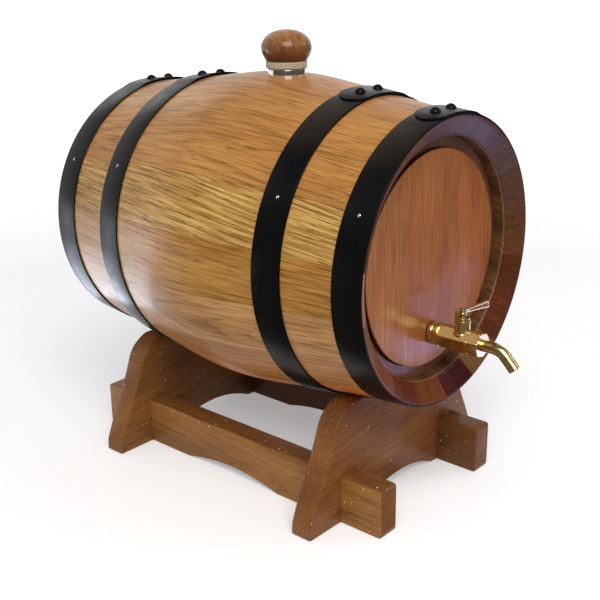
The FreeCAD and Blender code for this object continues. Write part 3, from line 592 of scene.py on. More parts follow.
def pierced_stave(start, sweep):
    """The plain shell with a square window left out of both its faces, on the inside a step
    nearer the front. Rings of faces lead from each square to a circle in plan, x and y
    going in step, with the height on the stave's own curve. The two circles are joined
    through the wood."""
    half = sweep / 2
    window = np.linspace(half - WINDOW_TURN, half + WINDOW_TURN, WINDOW_STEPS + 1)
    side = np.linspace(EDGE_TURN, half - WINDOW_TURN, 6)[:-1]
    inside = np.concatenate([side, window, sweep - side[::-1]])
    points, faces, finishes, caps = stave_shell(start, sweep, inside)
    columns = points.shape[1]
    first_row = 2 + len(side)
    inner_first = columns - END_POINTS - len(INNER_Y)
    inner_first += np.flatnonzero(INNER_Y == OUTER_Y[WINDOW_FIRST])[0] + 1
    row, column = faces[:, 0] // columns, faces[:, 0] % columns
    in_rows = (row >= first_row) & (row < first_row + WINDOW_STEPS)
    outer_gone = in_rows & (column >= WINDOW_FIRST) & (column < WINDOW_FIRST + WINDOW_STEPS)
    inner_gone = in_rows & (column >= inner_first - WINDOW_STEPS) & (column < inner_first)
    kept = ~(outer_gone | inner_gone)
    step = np.arange(WINDOW_STEPS)
    full = np.full(WINDOW_STEPS, WINDOW_STEPS)
    loop_row = first_row + np.concatenate([step, full, full - step, 0 * step])
    loop_y = np.concatenate([0 * step, step, full, full - step])
    outer_loop = loop_row * columns + WINDOW_FIRST + loop_y
    inner_loop = loop_row * columns + inner_first - loop_y
    flat = points.reshape(-1, 3)
    centre = np.array([0, BUNG_Y + MIDDLE_Y])
    blend = np.linspace(0, 1, RIM_RINGS + 1)[1:, None, None]
    rings = []
    for loop, radius_at in ((outer_loop, wood_radius), (inner_loop, belly_radius)):
        square = flat[loop][:, :2] - centre
        circle = square / np.linalg.norm(square, axis=1, keepdims=True) * LINER_R
        plan = centre + square * (1 - blend) + circle * blend
        height = np.sqrt(radius_at(plan[..., 1] - MIDDLE_Y) ** 2 - plan[..., 0] ** 2)
        rings.append(np.concatenate([plan, AXIS_Z + height[..., None]], -1))
    rings[1] = rings[1][::-1]
    added = np.concatenate(rings).reshape(-1, 3)
    strip = np.arange(len(added)).reshape(-1, len(outer_loop)) + len(flat)
    strip = np.concatenate([[outer_loop], strip, [inner_loop]])
    ahead = np.roll(strip, -1, 1)
    bridge = np.stack([strip[:-1], ahead[:-1], ahead[1:], strip[1:]], -1).reshape(-1, 4)
    all_faces = faces[kept].tolist() + caps + bridge.tolist()
    all_finishes = finishes[kept].tolist() + [0] * (2 + len(bridge))
    return np.concatenate([flat, added]), all_faces, all_finishes


start = joint_angle(PLAIN_STAVES)
points, faces, finishes = pierced_stave(start, BUNG_STAVE_ANGLE)
bung_oak = oak("lacquered oak, bung stave", "#C38D56", "#A8733E", "#764A26", (5, 50), 2.2, seed=7.3,
               figure=0.3, pores=0.6, streaks=0.24)
# Its sawn end is tinted lilac: the end grain's own brown with a painted lilac sheen.
bung_ends_sheen = end_grain("sawn oak end with painted lilac sheen, bung stave", "#553847", 7.3)
finish_stave("oak_stave_bung", "stave_bung", points, faces, finishes, start, BUNG_STAVE_ANGLE,
             bung_oak, bung_ends_sheen)


# ---- Heads: three oak boards at each end -------------------------------------
# Boards glued edge to edge and cut round: a raised field and a thin lip that sits
# in the croze. The front middle board is bored for the tap. Same lacquer.

PANEL_Y = 155.1
PANEL_R = 87.2
LIP_R = CROZE_R - 0.3
BOARD_HALF = 33.0
FIELD_EASE = 0.9          # rounded edge of the raised field
STEP_FOOT = 0.6           # hollow at the foot of the step up to the field
STEP_LEAN = 0.1
STEP_RISE = 0.4
JOINT_EASE = 0.12         # each board's face stops this short of the joint
TAIL_R = 8.4
TAP_Z = -60.9             # from the cask's axis


def loft(loops, ring=False):
    """Quads between each closed loop and the next. A ring joins the last loop to the first;
    otherwise the two end loops are filled."""
    rows, columns = loops.shape[:2]
    faces = grid_faces(rows, columns, ring, True).tolist()
    if not ring:
        faces += [list(range(columns)), list(range((rows - 1) * columns, rows * columns))[::-1]]
    points = loops.reshape(-1, 3)
    return points, outward(points, faces)


def board_outline(side, radius, ease):
    """Outline of a circle cut by the board's joints, as (x, z): an arc and a straight for a
    side board, two of each for the middle one."""
    edge = BOARD_HALF - ease if side == 0 else BOARD_HALF + ease
    reach = math.acos(edge / radius)
    chord = math.sqrt(radius ** 2 - edge ** 2)
    down = np.linspace(chord, -chord, 25)[1:-1]
    if side:
        arc = np.linspace(-reach, reach, 81)
        arc = radius * np.stack([np.cos(arc), np.sin(arc)], -1)
        outline = np.concatenate([arc, np.stack([np.full(len(down), edge), down], -1)])
        return outline * [side, 1]
    arc = np.linspace(reach, math.pi - reach, 41)
    top = radius * np.stack([np.cos(arc), np.sin(arc)], -1)
    left = np.stack([np.full(len(down), -edge), down], -1)
    return np.concatenate([top, left, -top, -left])


def build_head_board(name, node, end, side, bored, materials):
    """Outlines from the back of the lip out to the field; end is -1 in front, 1 behind.
    The field is lacquered oak; the ledge round it has painted shade, the step a painted shadow."""
    arc = np.linspace(0, math.pi / 2, 6)
    radii = np.concatenate([[LIP_R, LIP_R, PANEL_R + STEP_FOOT, PANEL_R + STEP_LEAN],
                            PANEL_R - FIELD_EASE * (1 - np.cos(arc))])
    rise = np.concatenate([[HEAD_IN_Y, LIP_Y, LIP_Y, LIP_Y + STEP_RISE],
                           PANEL_Y - FIELD_EASE * (1 - np.sin(arc))])
    ease = np.concatenate([np.zeros(4), JOINT_EASE * np.linspace(0, 1, 6)])
    outlines = np.stack([board_outline(side, r, e) for r, e in zip(radii, ease)])
    if bored:
        away = outlines[[0, -1]] - [0, TAP_Z]
        away = away / np.linalg.norm(away, axis=-1, keepdims=True) * TAIL_R + [0, TAP_Z]
        outlines = np.concatenate([away[:1], outlines, away[1:]])
        rise = np.concatenate([rise[:1], rise, rise[-1:]])
    x, z = outlines[..., 0], outlines[..., 1]
    y = np.broadcast_to(end * rise[:, None], x.shape)
    shell = loft(np.stack([x, y + MIDDLE_Y, z + AXIS_Z], -1), ring=bored)
    grain = np.stack([x, z, PANEL_Y - np.abs(y)], -1)
    board = finish_piece(name, shell, "cask", node, materials[0], grain)
    row = np.arange(len(shell[1])) // x.shape[1] - int(bored)
    add_finishes(board, materials[1:], np.choose(np.clip(row, 0, 4), [0, 1, 2, 2, 0]))


HEAD_GRAIN = {"spacing": 2.8, "figure": 0.25, "pores": 0.5, "streaks": 0.18}
# Painted shade: the sunk ledge round the field gets a darker oak, and the step up to the field a near-black
# one as a painted shadow.
ledge_oak = oak("shaded oak, head ledge", "#8A5E44", "#704834", "#4A2A1C", (80, 34), 1.0, 9.3,
                coat=(0.3, 0.2), **HEAD_GRAIN)
step_shadow_oak = oak("oak with painted shadow, head step", "#4A2A1C", "#361A10", "#240F08", (80, 34), 1.0, 9.9,
               streaks=0.2, coat=(0.1, 0.3))
HEAD_LOOKS = [
    # word, side, light, middle, dark, pith, lean
    ("left", -1, "#B77F4C", "#996034", "#6A381B", (-95, 34), 1.0),
    ("middle", 0, "#AF743E", "#925529", "#633215", (62, 30), 1.2),
    ("right", 1, "#B4753D", "#965528", "#653214", (100, 30), -0.8),
]

for end, end_word in ((-1, "front"), (1, "rear")):
    for word, side, light, middle, dark, pith, lean in HEAD_LOOKS:
        node = "head_%s_%s" % (end_word, word)
        lacquered = oak("lacquered oak, %s head %s" % (end_word, word), light, middle, dark, pith, lean,
                        seed=15.7 + 2 * end + 0.6 * side, **HEAD_GRAIN)
        build_head_board("oak_" + node, node, end, side, end < 0 and side == 0,
                         [lacquered, ledge_oak, step_shadow_oak])


# ---- Hoops: four painted steel straps ----------------------------------------
# Flat steel strip, flared to the cask's taper, lapped at the top and driven on.
# The end of the top layer is rounded. Satin black enamel, sprayed before fitting.

HOOP_WIDTH = 25.4
HOOP_THICK = 1.3
HOOP_FLARE = 0.35
HOOP_EDGE = 0.4           # rounding of the strip's edges
LAP_FRONT_ANGLE = 90.0
LAP_REAR_ANGLE = 88.0
TONGUE_REACH = 13.5
LAP_TAIL = 18.0
LAP_RAMP = 5.0            # degrees over which the top layer steps down
HOOP_STEPS = 288
CHIME_HOOP_Y = 159.0
BILGE_HOOP_Y = 89.9
HOOPS = {"front_chime": -CHIME_HOOP_Y, "front_bilge": -BILGE_HOOP_Y,
         "rear_bilge": BILGE_HOOP_Y, "rear_chime": CHIME_HOOP_Y}


def eased(corners, ease, closed, steps=4):
    """Rounds corners: each is replaced by a parabola that starts and ends the ease's length
    away along its two sides, or at the middle of a shorter side."""
    corners = np.asarray(corners, float)
    before = np.roll(corners, 1, 0) - corners
    after = np.roll(corners, -1, 0) - corners
    before_length = np.linalg.norm(before, axis=1, keepdims=True)
    after_length = np.linalg.norm(after, axis=1, keepdims=True)
    cut = np.minimum(np.asarray(ease, float).reshape(-1, 1),
                     0.48 * np.minimum(before_length, after_length))
    t = np.linspace(0, 1, steps)[:, None, None]
    start = corners + before / before_length * cut
    stop = corners + after / after_length * cut
    curve = (1 - t) ** 2 * start + 2 * t * (1 - t) * corners + t ** 2 * stop
    curve = curve.transpose(1, 0, 2)
    if closed:
        return curve.reshape(-1, 2)
    return np.concatenate([corners[:1], curve[1:-1].reshape(-1, 2), corners[-1:]])


def hoop_middle(hoop_y):
    """Outside radius of a hoop's single strip at mid width."""
    inner = wood_radius(abs(hoop_y) - HOOP_WIDTH / 2)
    outer = wood_radius(abs(hoop_y) + HOOP_WIDTH / 2) + HOOP_FLARE
    return float((inner + outer) / 2 + HOOP_THICK)


def lap_direction(hoop_y):
    """Angle of the lap's middle and the way its tongue points."""
    return (LAP_FRONT_ANGLE, 1) if hoop_y < 0 else (LAP_REAR_ANGLE, -1)


def strip_loops(hoop_y, angles, lift, narrowing):
    """The strip's rounded section at each angle, lifted off the wood, its width scaled."""
    half = HOOP_WIDTH / 2
    corners = [(-half, 0), (half, 0), (half, HOOP_THICK), (-half, HOOP_THICK)]
    section = eased(corners, HOOP_EDGE, True)
    inner = wood_radius(abs(hoop_y) - half)
    outer = wood_radius(abs(hoop_y) + half) + HOOP_FLARE
    across = section[None, :, 0] * narrowing[:, None]
    share = 0.5 + math.copysign(1, hoop_y) * across / HOOP_WIDTH
    radius = inner + (outer - inner) * share + section[None, :, 1] + lift[:, None]
    return on_cask(radius, angles[:, None], hoop_y + across)


def joined(shells):
    """Several closed shells as one mesh."""
    starts = np.cumsum([0] + [len(points) for points, faces in shells[:-1]])
    faces = [[corner + start for corner in face]
             for start, (points, faces) in zip(starts, shells) for face in faces]
    return np.concatenate([points for points, faces in shells]), faces


def hoop_shells(hoop_y):
    """A closed ring of strip, and the top layer that lies on it over the lap: it lifts off
    the wood in a smooth ramp, and its width at the tip follows a circle."""
    middle, way = lap_direction(hoop_y)
    around = np.linspace(0, 360, HOOP_STEPS, endpoint=False)
    ring = loft(strip_loops(hoop_y, around, 0 * around, np.ones(HOOP_STEPS)), ring=True)
    reach = math.degrees(HOOP_WIDTH / 2 / hoop_middle(hoop_y))
    tip = np.sin(np.linspace(0, 0.49 * math.pi, 14))
    straight = np.linspace(-LAP_TAIL, TONGUE_REACH - reach, 40)
    along = np.concatenate([straight, TONGUE_REACH - reach + tip[1:] * reach])
    narrowing = np.concatenate([np.ones(len(straight)), np.sqrt(1 - tip[1:] ** 2)])
    ramp = np.clip((along + LAP_TAIL) / LAP_RAMP, 0, 1)
    lift = HOOP_THICK * (0.04 + 0.96 * ramp ** 2 * (3 - 2 * ramp))
    return [ring, loft(strip_loops(hoop_y, middle + way * along, lift, narrowing))]


def enamelled_steel(name):
    """Satin black enamel on steel: near black, a soft wide sheen, and faint ripples and
    scuffs along the strip from driving it on."""
    material, tree = new_material(name)
    place = add(tree, "TexCoord").outputs["Object"]
    ripple = add(tree, "TexNoise", {"Vector": place, "Scale": 60.0, "Detail": 2.0, "Roughness": 0.5})
    scuff = add(tree, "TexNoise", {"Vector": place, "Scale": 420.0, "Detail": 3.0, "Roughness": 0.65})
    worn = add(tree, "MapRange", {"Value": scuff, "From Min": 0.62, "From Max": 0.78})
    colour = add(tree, "Mix", {0: worn, 6: linear("#0A0B0B"), 7: linear("#1A1C1B")}, data_type="RGBA")
    dull = add(tree, "MapRange", {"Value": ripple, "From Min": 0.3, "From Max": 0.7,
                                  "To Min": 0.24, "To Max": 0.36})
    skin = add(tree, "Bump", {"Strength": 0.2, "Distance": 0.0006, "Height": ripple})
    enamel = add(tree, "BsdfPrincipled", {"Base Color": colour.outputs[2], "Roughness": dull,
                                          "Specular IOR Level": 0.13, "Normal": skin})
    add(tree, "OutputMaterial", {"Surface": enamel})
    return material


hoop_enamel = enamelled_steel("satin black enamel on steel strip")
for hoop_name, hoop_y in HOOPS.items():
    shell = joined(hoop_shells(hoop_y))
    finish_piece("steel_hoop_" + hoop_name, shell, "cask", "hoop_" + hoop_name,
                 hoop_enamel)


# ---- Rivets and nails: they hold each lap and keep the hoop from creeping ----
# Two cold-headed steel rivets through each lap, enamelled with the hoop, and one
# bright wire nail driven through the strip into the third stave.

RIVET_SPREAD = 5.15
RIVET_HEAD_R = 4.5
RIVET_HEAD_H = 3.4
NAIL_PAST_JOINT = 1.5
NAIL_HEAD_R = 1.3
NAIL_HEAD_H = 0.5
NAIL_LENGTH = 12.0
NAIL_SHANK_R = 0.6
NAIL_POINT = 2.0          # length of its tapered point
NAIL_SINK = 0.3           # how far the skirt of its head goes into the strip


def lathe(profile, centre, axis, turns=72, ring=False):
    """Turned shell: centre + r cos a side + r sin a front + h axis, for each (r, h) of the
    profile. A ring's profile closes on itself; otherwise its two ends are filled."""
    axis = np.asarray(axis, float) / np.linalg.norm(axis)
    side = np.array([1.0, 0, 0]) if abs(axis[0]) < 0.9 else np.array([0, 1.0, 0])
    side = side - axis * side.dot(axis)
    side = side / np.linalg.norm(side)
    front = np.cross(axis, side)
    angle = np.linspace(0, 2 * math.pi, turns, endpoint=False)
    spoke = np.cos(angle)[:, None] * side + np.sin(angle)[:, None] * front
    profile = np.asarray(profile, float)
    loops = profile[:, 0, None, None] * spoke + profile[:, 1, None, None] * axis
    return loft(loops + np.asarray(centre, float), ring=ring)


def dome_profile(radius, height, sunk):
    """Cap of a ball on a short skirt: h = sqrt(R^2 - r^2) - (R - height)."""
    ball = (radius ** 2 + height ** 2) / (2 * height)
    r = radius * np.sin(np.linspace(math.pi / 2, 0.02, 12))
    cap = np.stack([r, np.sqrt(ball ** 2 - r ** 2) - (ball - height)], -1)
    return np.concatenate([[(radius, -sunk)], cap])


def radial_place(hoop_y, angle, radius):
    """A point on a hoop and the direction straight out of the cask there."""
    turn = math.radians(angle)
    return on_cask(radius, angle, hoop_y), (math.cos(turn), 0, math.sin(turn))


def drawn_steel(name, colour, roughness):
    """Bright steel with fine drawing lines too thin to see apart: they widen the highlight."""
    material, tree = new_material(name)
    place = add(tree, "TexCoord").outputs["Object"]
    rub = add(tree, "TexNoise", {"Vector": place, "Scale": 900.0, "Detail": 2.0})
    dull = add(tree, "MapRange", {"Value": rub, "From Min": 0.3, "From Max": 0.7,
                                  "To Min": roughness * 0.8, "To Max": roughness * 1.3})
    shade = add(tree, "MapRange", {"Value": rub, "From Min": 0.3, "From Max": 0.7,
                                   "To Min": 0.85, "To Max": 1.0})
    tint = add(tree, "Mix", {0: shade, 6: linear("#595959"), 7: linear(colour)}, data_type="RGBA")
    metal = add(tree, "BsdfPrincipled", {"Base Color": tint.outputs[2], "Metallic": 1.0, "Roughness": dull})
    add(tree, "OutputMaterial", {"Surface": metal})
    return material


bright_steel = drawn_steel("bright drawn steel", "#D2D0CC", 0.22)
for hoop_name, hoop_y in HOOPS.items():
    middle, way = lap_direction(hoop_y)
    surface = hoop_middle(hoop_y)
    heads = []
    for angle in (middle - RIVET_SPREAD, middle + RIVET_SPREAD):
        foot, out = radial_place(hoop_y, angle, surface + HOOP_THICK)
        heads.append(lathe(dome_profile(RIVET_HEAD_R, RIVET_HEAD_H, HOOP_THICK / 2), foot, out, turns=40))
    shell = joined(heads)
    finish_piece("rivet_pair_" + hoop_name, shell, "cask", "rivets_" + hoop_name,
                 hoop_enamel)
    foot, out = radial_place(hoop_y, joint_angle(2) + NAIL_PAST_JOINT, surface)
    shank = [(NAIL_SHANK_R * 0.2, -NAIL_LENGTH), (NAIL_SHANK_R, NAIL_POINT - NAIL_LENGTH),
             (NAIL_SHANK_R, -NAIL_SINK - 0.1)]
    profile = np.concatenate([shank, dome_profile(NAIL_HEAD_R, NAIL_HEAD_H, NAIL_SINK)])
    shell = lathe(profile, foot, out, turns=20)
    finish_piece("wire_nail_" + hoop_name, shell, "cask", "nail_" + hoop_name,
                 bright_steel)


# ---- Bung liner: a steel tube pressed into the bung hole ---------------------
# Thin stainless tube with a rolled, rounded mouth that stands a little proud, so
# that the stopper seats on metal and the wood's edge stays dry.

LINER_WALL = 1.6
LINER_TOP = 137.6         # heights of liner and bung are from the cask's axis
LINER_EASE = 0.7
BUNG_CENTRE = (0, BUNG_Y + MIDDLE_Y, AXIS_Z)
UP = (0, 0, 1)


def turned(corners, ease, centre, axis, turns=96, ring=False):
    """A lathe's shell whose profile has its corners rounded by the ease."""
    return lathe(eased(corners, ease, ring), centre, axis, turns, ring)


liner_corners = [(LINER_R, INNER_BILGE_R), (LINER_R, LINER_TOP), (LINER_R - LINER_WALL, LINER_TOP),
                 (LINER_R - LINER_WALL, INNER_BILGE_R)]
shell = turned(liner_corners, LINER_EASE, BUNG_CENTRE, UP, ring=True)
polished_steel = drawn_steel("polished stainless steel tube", "#D8D8D6", 0.10)
finish_piece("steel_bung_liner", shell, "cask", "bung_liner", polished_steel)


# ---- Bung: a turned knob screwed to a silicone stopper -----------------------
# The knob is turned from one block and lacquered like the cask. A screw from below
# holds the moulded silicone stopper, whose rim rests on the liner.

SEAL_FOOT = 137.9
SEAL_R = 17.4
KNOB_FOOT = 143.7
PLUG_DEPTH = 18.0
PLUG_R = 14.3
PLUG_TAPER = 0.7
SEAL_EASE = 0.9
KNOB_FOOT_R = 16.0
KNOB_DARKENING = 22.0         # height over which the darkening at its foot fades out
SCREW_R = 2.5
SCREW_HEAD_R = 5.5
SCREW_HEAD_H = 2.5
SCREW_BITE = 14.0
KNOB_FLANK = np.array([(17.0, 0), (21.2, 11.0), (18.9, 17.2), (10.2, 23.6), (0.3, 25.3)])


def smooth_through(knots, count):
    """Natural cubic splines of both coordinates on the distance along the knots."""
    steps = np.linalg.norm(np.diff(knots, axis=0), axis=1)
    place = np.concatenate([[0], np.cumsum(steps)])
    at = np.linspace(0, place[-1], count)
    return np.stack([natural_curve(at, place, knots[:, 0]), natural_curve(at, place, knots[:, 1])], -1)


def moulded_rubber(name, light, dark, roughness):
    """Moulded silicone or rubber: matt and even, with a faint cloudiness."""
    material, tree = new_material(name)
    place = add(tree, "TexCoord").outputs["Object"]
    cloud = add(tree, "TexNoise", {"Vector": place, "Scale": 180.0, "Detail": 3.0})
    colour = add(tree, "Mix", {0: cloud, 6: linear(dark), 7: linear(light)}, data_type="RGBA")
    skin = add(tree, "Bump", {"Strength": 0.15, "Distance": 0.0003, "Height": cloud})
    rubber = add(tree, "BsdfPrincipled", {"Base Color": colour.outputs[2], "Roughness": roughness,
                                          "IOR": 1.42, "Normal": skin})
    add(tree, "OutputMaterial", {"Surface": rubber})
    return material


def darken_low(material, low, high, colour):
    """Darker towards the foot of a turned piece: the wood's colour is
    multiplied by a brown that fades out between two heights in metres."""
    tree = material.node_tree
    shader = next(node for node in tree.nodes if node.type == "BSDF_PRINCIPLED")
    wood = shader.inputs["Base Color"].links[0].from_socket
    place = add(tree, "TexCoord").outputs["Object"]
    height = add(tree, "SeparateXYZ", {0: place}).outputs["Z"]
    rise = add(tree, "MapRange", {"Value": height, "From Min": low, "From Max": high})
    tone = add(tree, "Mix", {0: rise, 6: linear(colour), 7: (1, 1, 1, 1)}, data_type="RGBA")
    # The wood's colour multiplied by that brown: darker towards the foot.
    stained = add(tree, "Mix", {0: 1.0, 6: wood, 7: tone.outputs[2]}, data_type="RGBA",
                  blend_type="MULTIPLY")
    tree.links.new(stained.outputs[2], shader.inputs["Base Color"])


seal_foot = SEAL_FOOT - PLUG_DEPTH
seal_corners = [(SCREW_R, seal_foot), (PLUG_R - PLUG_TAPER, seal_foot), (PLUG_R, SEAL_FOOT),
                (SEAL_R, SEAL_FOOT), (SEAL_R, KNOB_FOOT), (SCREW_R, KNOB_FOOT)]
shell = turned(seal_corners, SEAL_EASE, BUNG_CENTRE, UP, ring=True)
silicone = moulded_rubber("moulded translucent silicone", "#B8A98E", "#A39378", 0.42)
finish_piece("silicone_bung_seal", shell, "bung", "bung_seal", silicone)

flank = smooth_through(KNOB_FLANK, 40) + [0, KNOB_FOOT]
foot = [(KNOB_FOOT_R, KNOB_FOOT), (KNOB_FOOT_R + 0.7, KNOB_FOOT + 0.05)]
shell = lathe(np.concatenate([foot, flank]), BUNG_CENTRE, UP, turns=120)
knob_grain = (shell[0] - BUNG_CENTRE)[:, [0, 2, 1]] - [0, KNOB_FOOT, 0]
knob_oak = oak("lacquered turned wood, knob", "#B08C4E", "#85552F", "#4E2822", (30, 20), 60.0, seed=12.9,
               spacing=7.0, figure=0.15, pores=0.3, streaks=0.12, coat=(0.6, 0.1))
knob_foot = BUNG_CENTRE[2] + KNOB_FOOT
darken_low(knob_oak, knob_foot * MM, (knob_foot + KNOB_DARKENING) * MM, "#A88E78")
finish_piece("turned_bung_knob", shell, "bung", "bung_knob", knob_oak, knob_grain)

head_low = seal_foot - SCREW_HEAD_H
screw_profile = [(0.4, head_low + 0.9), (1.6, head_low + 0.9), (1.9, head_low),
                 (SCREW_HEAD_R - 0.6, head_low), (SCREW_HEAD_R, head_low + 0.8),
                 (SCREW_HEAD_R, seal_foot), (SCREW_R, seal_foot),
                 (SCREW_R, KNOB_FOOT + SCREW_BITE), (0.3, KNOB_FOOT + SCREW_BITE)]
shell = lathe(screw_profile, BUNG_CENTRE, UP, turns=48)
finish_piece("steel_bung_screw", shell, "bung", "bung_screw", bright_steel)


# ---- Tap: the brass barrel that carries the valve ----------------------------
# Turned and milled from hexagon and round bar, polished, and lacquered. A threaded
# tail goes through the head to a lock nut inside, with a rubber washer in front.

TAP_CENTRE = (0, MIDDLE_Y, AXIS_Z + TAP_Z)
FORWARD = (0, -1, 0)      # places along the tap are counted forwards from mid cask
COLLAR_BACK = 156.6
RING_BACK = 163.8
BODY_BACK = 165.6
BODY_FRONT = 193.2
OUTLET_FRONT = 202.7
WASHER_R = 9.0
COLLAR_R = 9.3
GROOVE_BACK = 159.4       # a shallow groove is turned round the collar
GROOVE_FRONT = 161.2
GROOVE_DEPTH = 0.5
RING_R = 10.2
SPIGOT_R = 6.0
SPIGOT_LENGTH = 7.5
TAIL_END = 134.2
CORE_R = 0.5              # a turned shell closes on its axis with a flat of this radius
LOCK_NUT_FLATS = 24.0
LOCK_NUT_T = 5.0
HEX_FLATS = 17.8
OUTLET_FLATS = 18.2
HEX_TURN = -13.0
CHAMFER = 0.9
CORNER_WEAR = 0.3


def corner_radius(flats):
    """Radius to a hexagon's corners: half its width across flats / cos 30."""
    return flats / 2 / math.cos(math.pi / 6)


def hexagon_bar(flats, stations, turn):
    """Hexagon bar with turned-down ends: at each angle the radius is the smaller of the
    flat's, apothem / cos(angle from the flat's middle), and the station's cone."""
    angle = np.linspace(0, 2 * math.pi, 144, endpoint=False)
    from_flat = np.mod(angle, math.pi / 3) - math.pi / 6
    flat = np.minimum(flats / 2 / np.cos(from_flat), corner_radius(flats) - CORNER_WEAR)
    stations = np.asarray(stations, float)
    radius = np.minimum(flat[None, :], stations[:, :1])
    way = angle + math.radians(turn)
    x = radius * np.cos(way)
    z = radius * np.sin(way)
    y = np.broadcast_to(-stations[:, 1:], x.shape)
    return loft(np.stack([x, y, z], -1) + TAP_CENTRE)


def chamfered(flats, back, front):
    """Stations (radius, place) of a bar whose two ends are turned down to a little over the
    flats' width. Between the chamfers the radius is left wide, so that the flats rule."""
    narrow = flats / 2 * 1.03
    corner = corner_radius(flats)
    return [(narrow, back), (corner, back + CHAMFER), (flats, back + CHAMFER),
            (flats, front - CHAMFER), (corner, front - CHAMFER), (narrow, front)]


def polished_brass(name, colour, pale, roughness, seed):
    """Turned and buffed brass under clear lacquer: warm yellow with broad soft variations
    and tool lines too fine to see apart, which only widen the highlights."""
    material, tree = new_material(name)
    place = add(tree, "TexCoord").outputs["Object"]
    shifted = add(tree, "VectorMath", {0: place, 1: (seed, seed, seed)}, operation="ADD")
    cloud = add(tree, "TexNoise", {"Vector": shifted, "Scale": 90.0, "Detail": 2.0})
    rub = add(tree, "TexNoise", {"Vector": shifted, "Scale": 700.0, "Detail": 2.0})
    warm = add(tree, "Mix", {0: cloud, 6: linear(colour), 7: linear(pale)}, data_type="RGBA")
    dull = add(tree, "MapRange", {"Value": rub, "From Min": 0.3, "From Max": 0.7,
                                  "To Min": roughness * 0.7, "To Max": roughness * 1.4})
    skin = add(tree, "Bump", {"Strength": 0.05, "Distance": 0.0003, "Height": cloud})
    metal = add(tree, "BsdfPrincipled", {"Base Color": warm.outputs[2], "Metallic": 1.0,
                                         "Roughness": dull, "Normal": skin})
    add(tree, "OutputMaterial", {"Surface": metal})
    return material


brass = polished_brass("polished brass bar", "#D8C280", "#E4D69C", 0.20, 0)
dark_rubber = moulded_rubber("dark moulded rubber", "#3E3024", "#2A2018", 0.6)

washer_corners = [(TAIL_R, PANEL_Y), (WASHER_R, PANEL_Y), (WASHER_R, COLLAR_BACK), (TAIL_R, COLLAR_BACK)]
shell = turned(washer_corners, 0.25, TAP_CENTRE, FORWARD, ring=True)
finish_piece("rubber_tap_washer", shell, "cask", "tap_washer", dark_rubber)

shank_corners = [(CORE_R, TAIL_END), (TAIL_R, TAIL_END), (TAIL_R, COLLAR_BACK), (COLLAR_R, COLLAR_BACK),
                 (COLLAR_R, GROOVE_BACK), (COLLAR_R - GROOVE_DEPTH, GROOVE_BACK + GROOVE_DEPTH),
                 (COLLAR_R - GROOVE_DEPTH, GROOVE_FRONT - GROOVE_DEPTH), (COLLAR_R, GROOVE_FRONT),
                 (COLLAR_R, RING_BACK), (SPIGOT_R, RING_BACK),
                 (SPIGOT_R, RING_BACK + SPIGOT_LENGTH), (CORE_R, RING_BACK + SPIGOT_LENGTH)]
shell = turned(shank_corners, 0.3, TAP_CENTRE, FORWARD)
finish_piece("brass_tap_shank", shell, "cask", "tap_shank", brass)

nut_stations = chamfered(LOCK_NUT_FLATS, HEAD_IN_Y - LOCK_NUT_T, HEAD_IN_Y)
shell = hexagon_bar(LOCK_NUT_FLATS, nut_stations, 0)
finish_piece("brass_lock_nut", shell, "cask", "tap_lock_nut", brass)

ring_corners = [(SPIGOT_R, RING_BACK), (RING_R, RING_BACK), (RING_R, BODY_BACK), (SPIGOT_R, BODY_BACK)]
shell = turned(ring_corners, 0.5, TAP_CENTRE, FORWARD, ring=True)
finish_piece("brass_lock_ring", shell, "cask", "tap_lock_ring", brass)

shell = hexagon_bar(HEX_FLATS, chamfered(HEX_FLATS, BODY_BACK, BODY_FRONT), HEX_TURN)
finish_piece("brass_tap_body", shell, "cask", "tap_body", brass)

shell = hexagon_bar(OUTLET_FLATS, chamfered(OUTLET_FLATS, BODY_FRONT, OUTLET_FRONT), HEX_TURN)
finish_piece("brass_outlet_nut", shell, "cask", "tap_outlet_nut", brass)


# ---- Spout: a bent brass tube ------------------------------------------------
# Drawn tube, bent down by 46 degrees, brazed into the outlet nut and buffed. Its
# open end is cut square to the tube and its edge broken.

SPOUT_R = 4.7
SPOUT_WALL = 1.0
SPOUT_STRAIGHT = 10.3
BEND_R = 14.0
BEND_ANGLE = 46.0
SPOUT_DROP = 12.6         # straight length after the bend
STUD_LENGTH = 4.5         # from the body to the tube's end inside the outlet nut
SPOUT_EASE = 0.3          # broken edges of the open end


def spout_line(short):
    """Middle line as (forwards, down) and its slope: straight, an arc of BEND_R, straight,
    ending short of the full length."""
    bend = np.radians(np.linspace(0, BEND_ANGLE, 25))
    straight = np.linspace(BODY_FRONT + STUD_LENGTH, OUTLET_FRONT + SPOUT_STRAIGHT, 8)[:-1]
    first = np.stack([straight, 0 * straight], -1)
    arc = np.stack([OUTLET_FRONT + SPOUT_STRAIGHT + BEND_R * np.sin(bend), BEND_R * (1 - np.cos(bend))], -1)
    way = np.array([math.cos(bend[-1]), math.sin(bend[-1])])
    last = arc[-1] + np.linspace(0, SPOUT_DROP - short, 8)[1:, None] * way
    slope = np.concatenate([np.zeros(len(first)), bend, np.full(len(last), bend[-1])])
    return np.concatenate([first, arc, last]), slope


def spout_loops(radius, short):
    """Circles of the radius round the middle line, each square to the line's slope."""
    line, slope = spout_line(short)
    round_it = np.linspace(0, 2 * math.pi, 64, endpoint=False)
    x = np.broadcast_to(radius * np.cos(round_it), (len(line), len(round_it)))
    away = radius * np.sin(round_it)[None, :]
    forwards = line[:, :1] + away * np.sin(slope)[:, None]
    down = line[:, 1:] - away * np.cos(slope)[:, None]
    return np.stack([x, -forwards, -down], -1) + TAP_CENTRE


SPOUT_BORE_R = SPOUT_R - SPOUT_WALL
outside = spout_loops(SPOUT_R, SPOUT_EASE)
edge = [spout_loops(radius, 0)[-1:] for radius in (SPOUT_R - SPOUT_EASE, SPOUT_BORE_R + SPOUT_EASE)]
inside = spout_loops(SPOUT_BORE_R, SPOUT_EASE)[::-1]
shell = loft(np.concatenate([outside, *edge, inside]), ring=True)
finish_piece("brass_spout", shell, "cask", "tap_spout", brass)


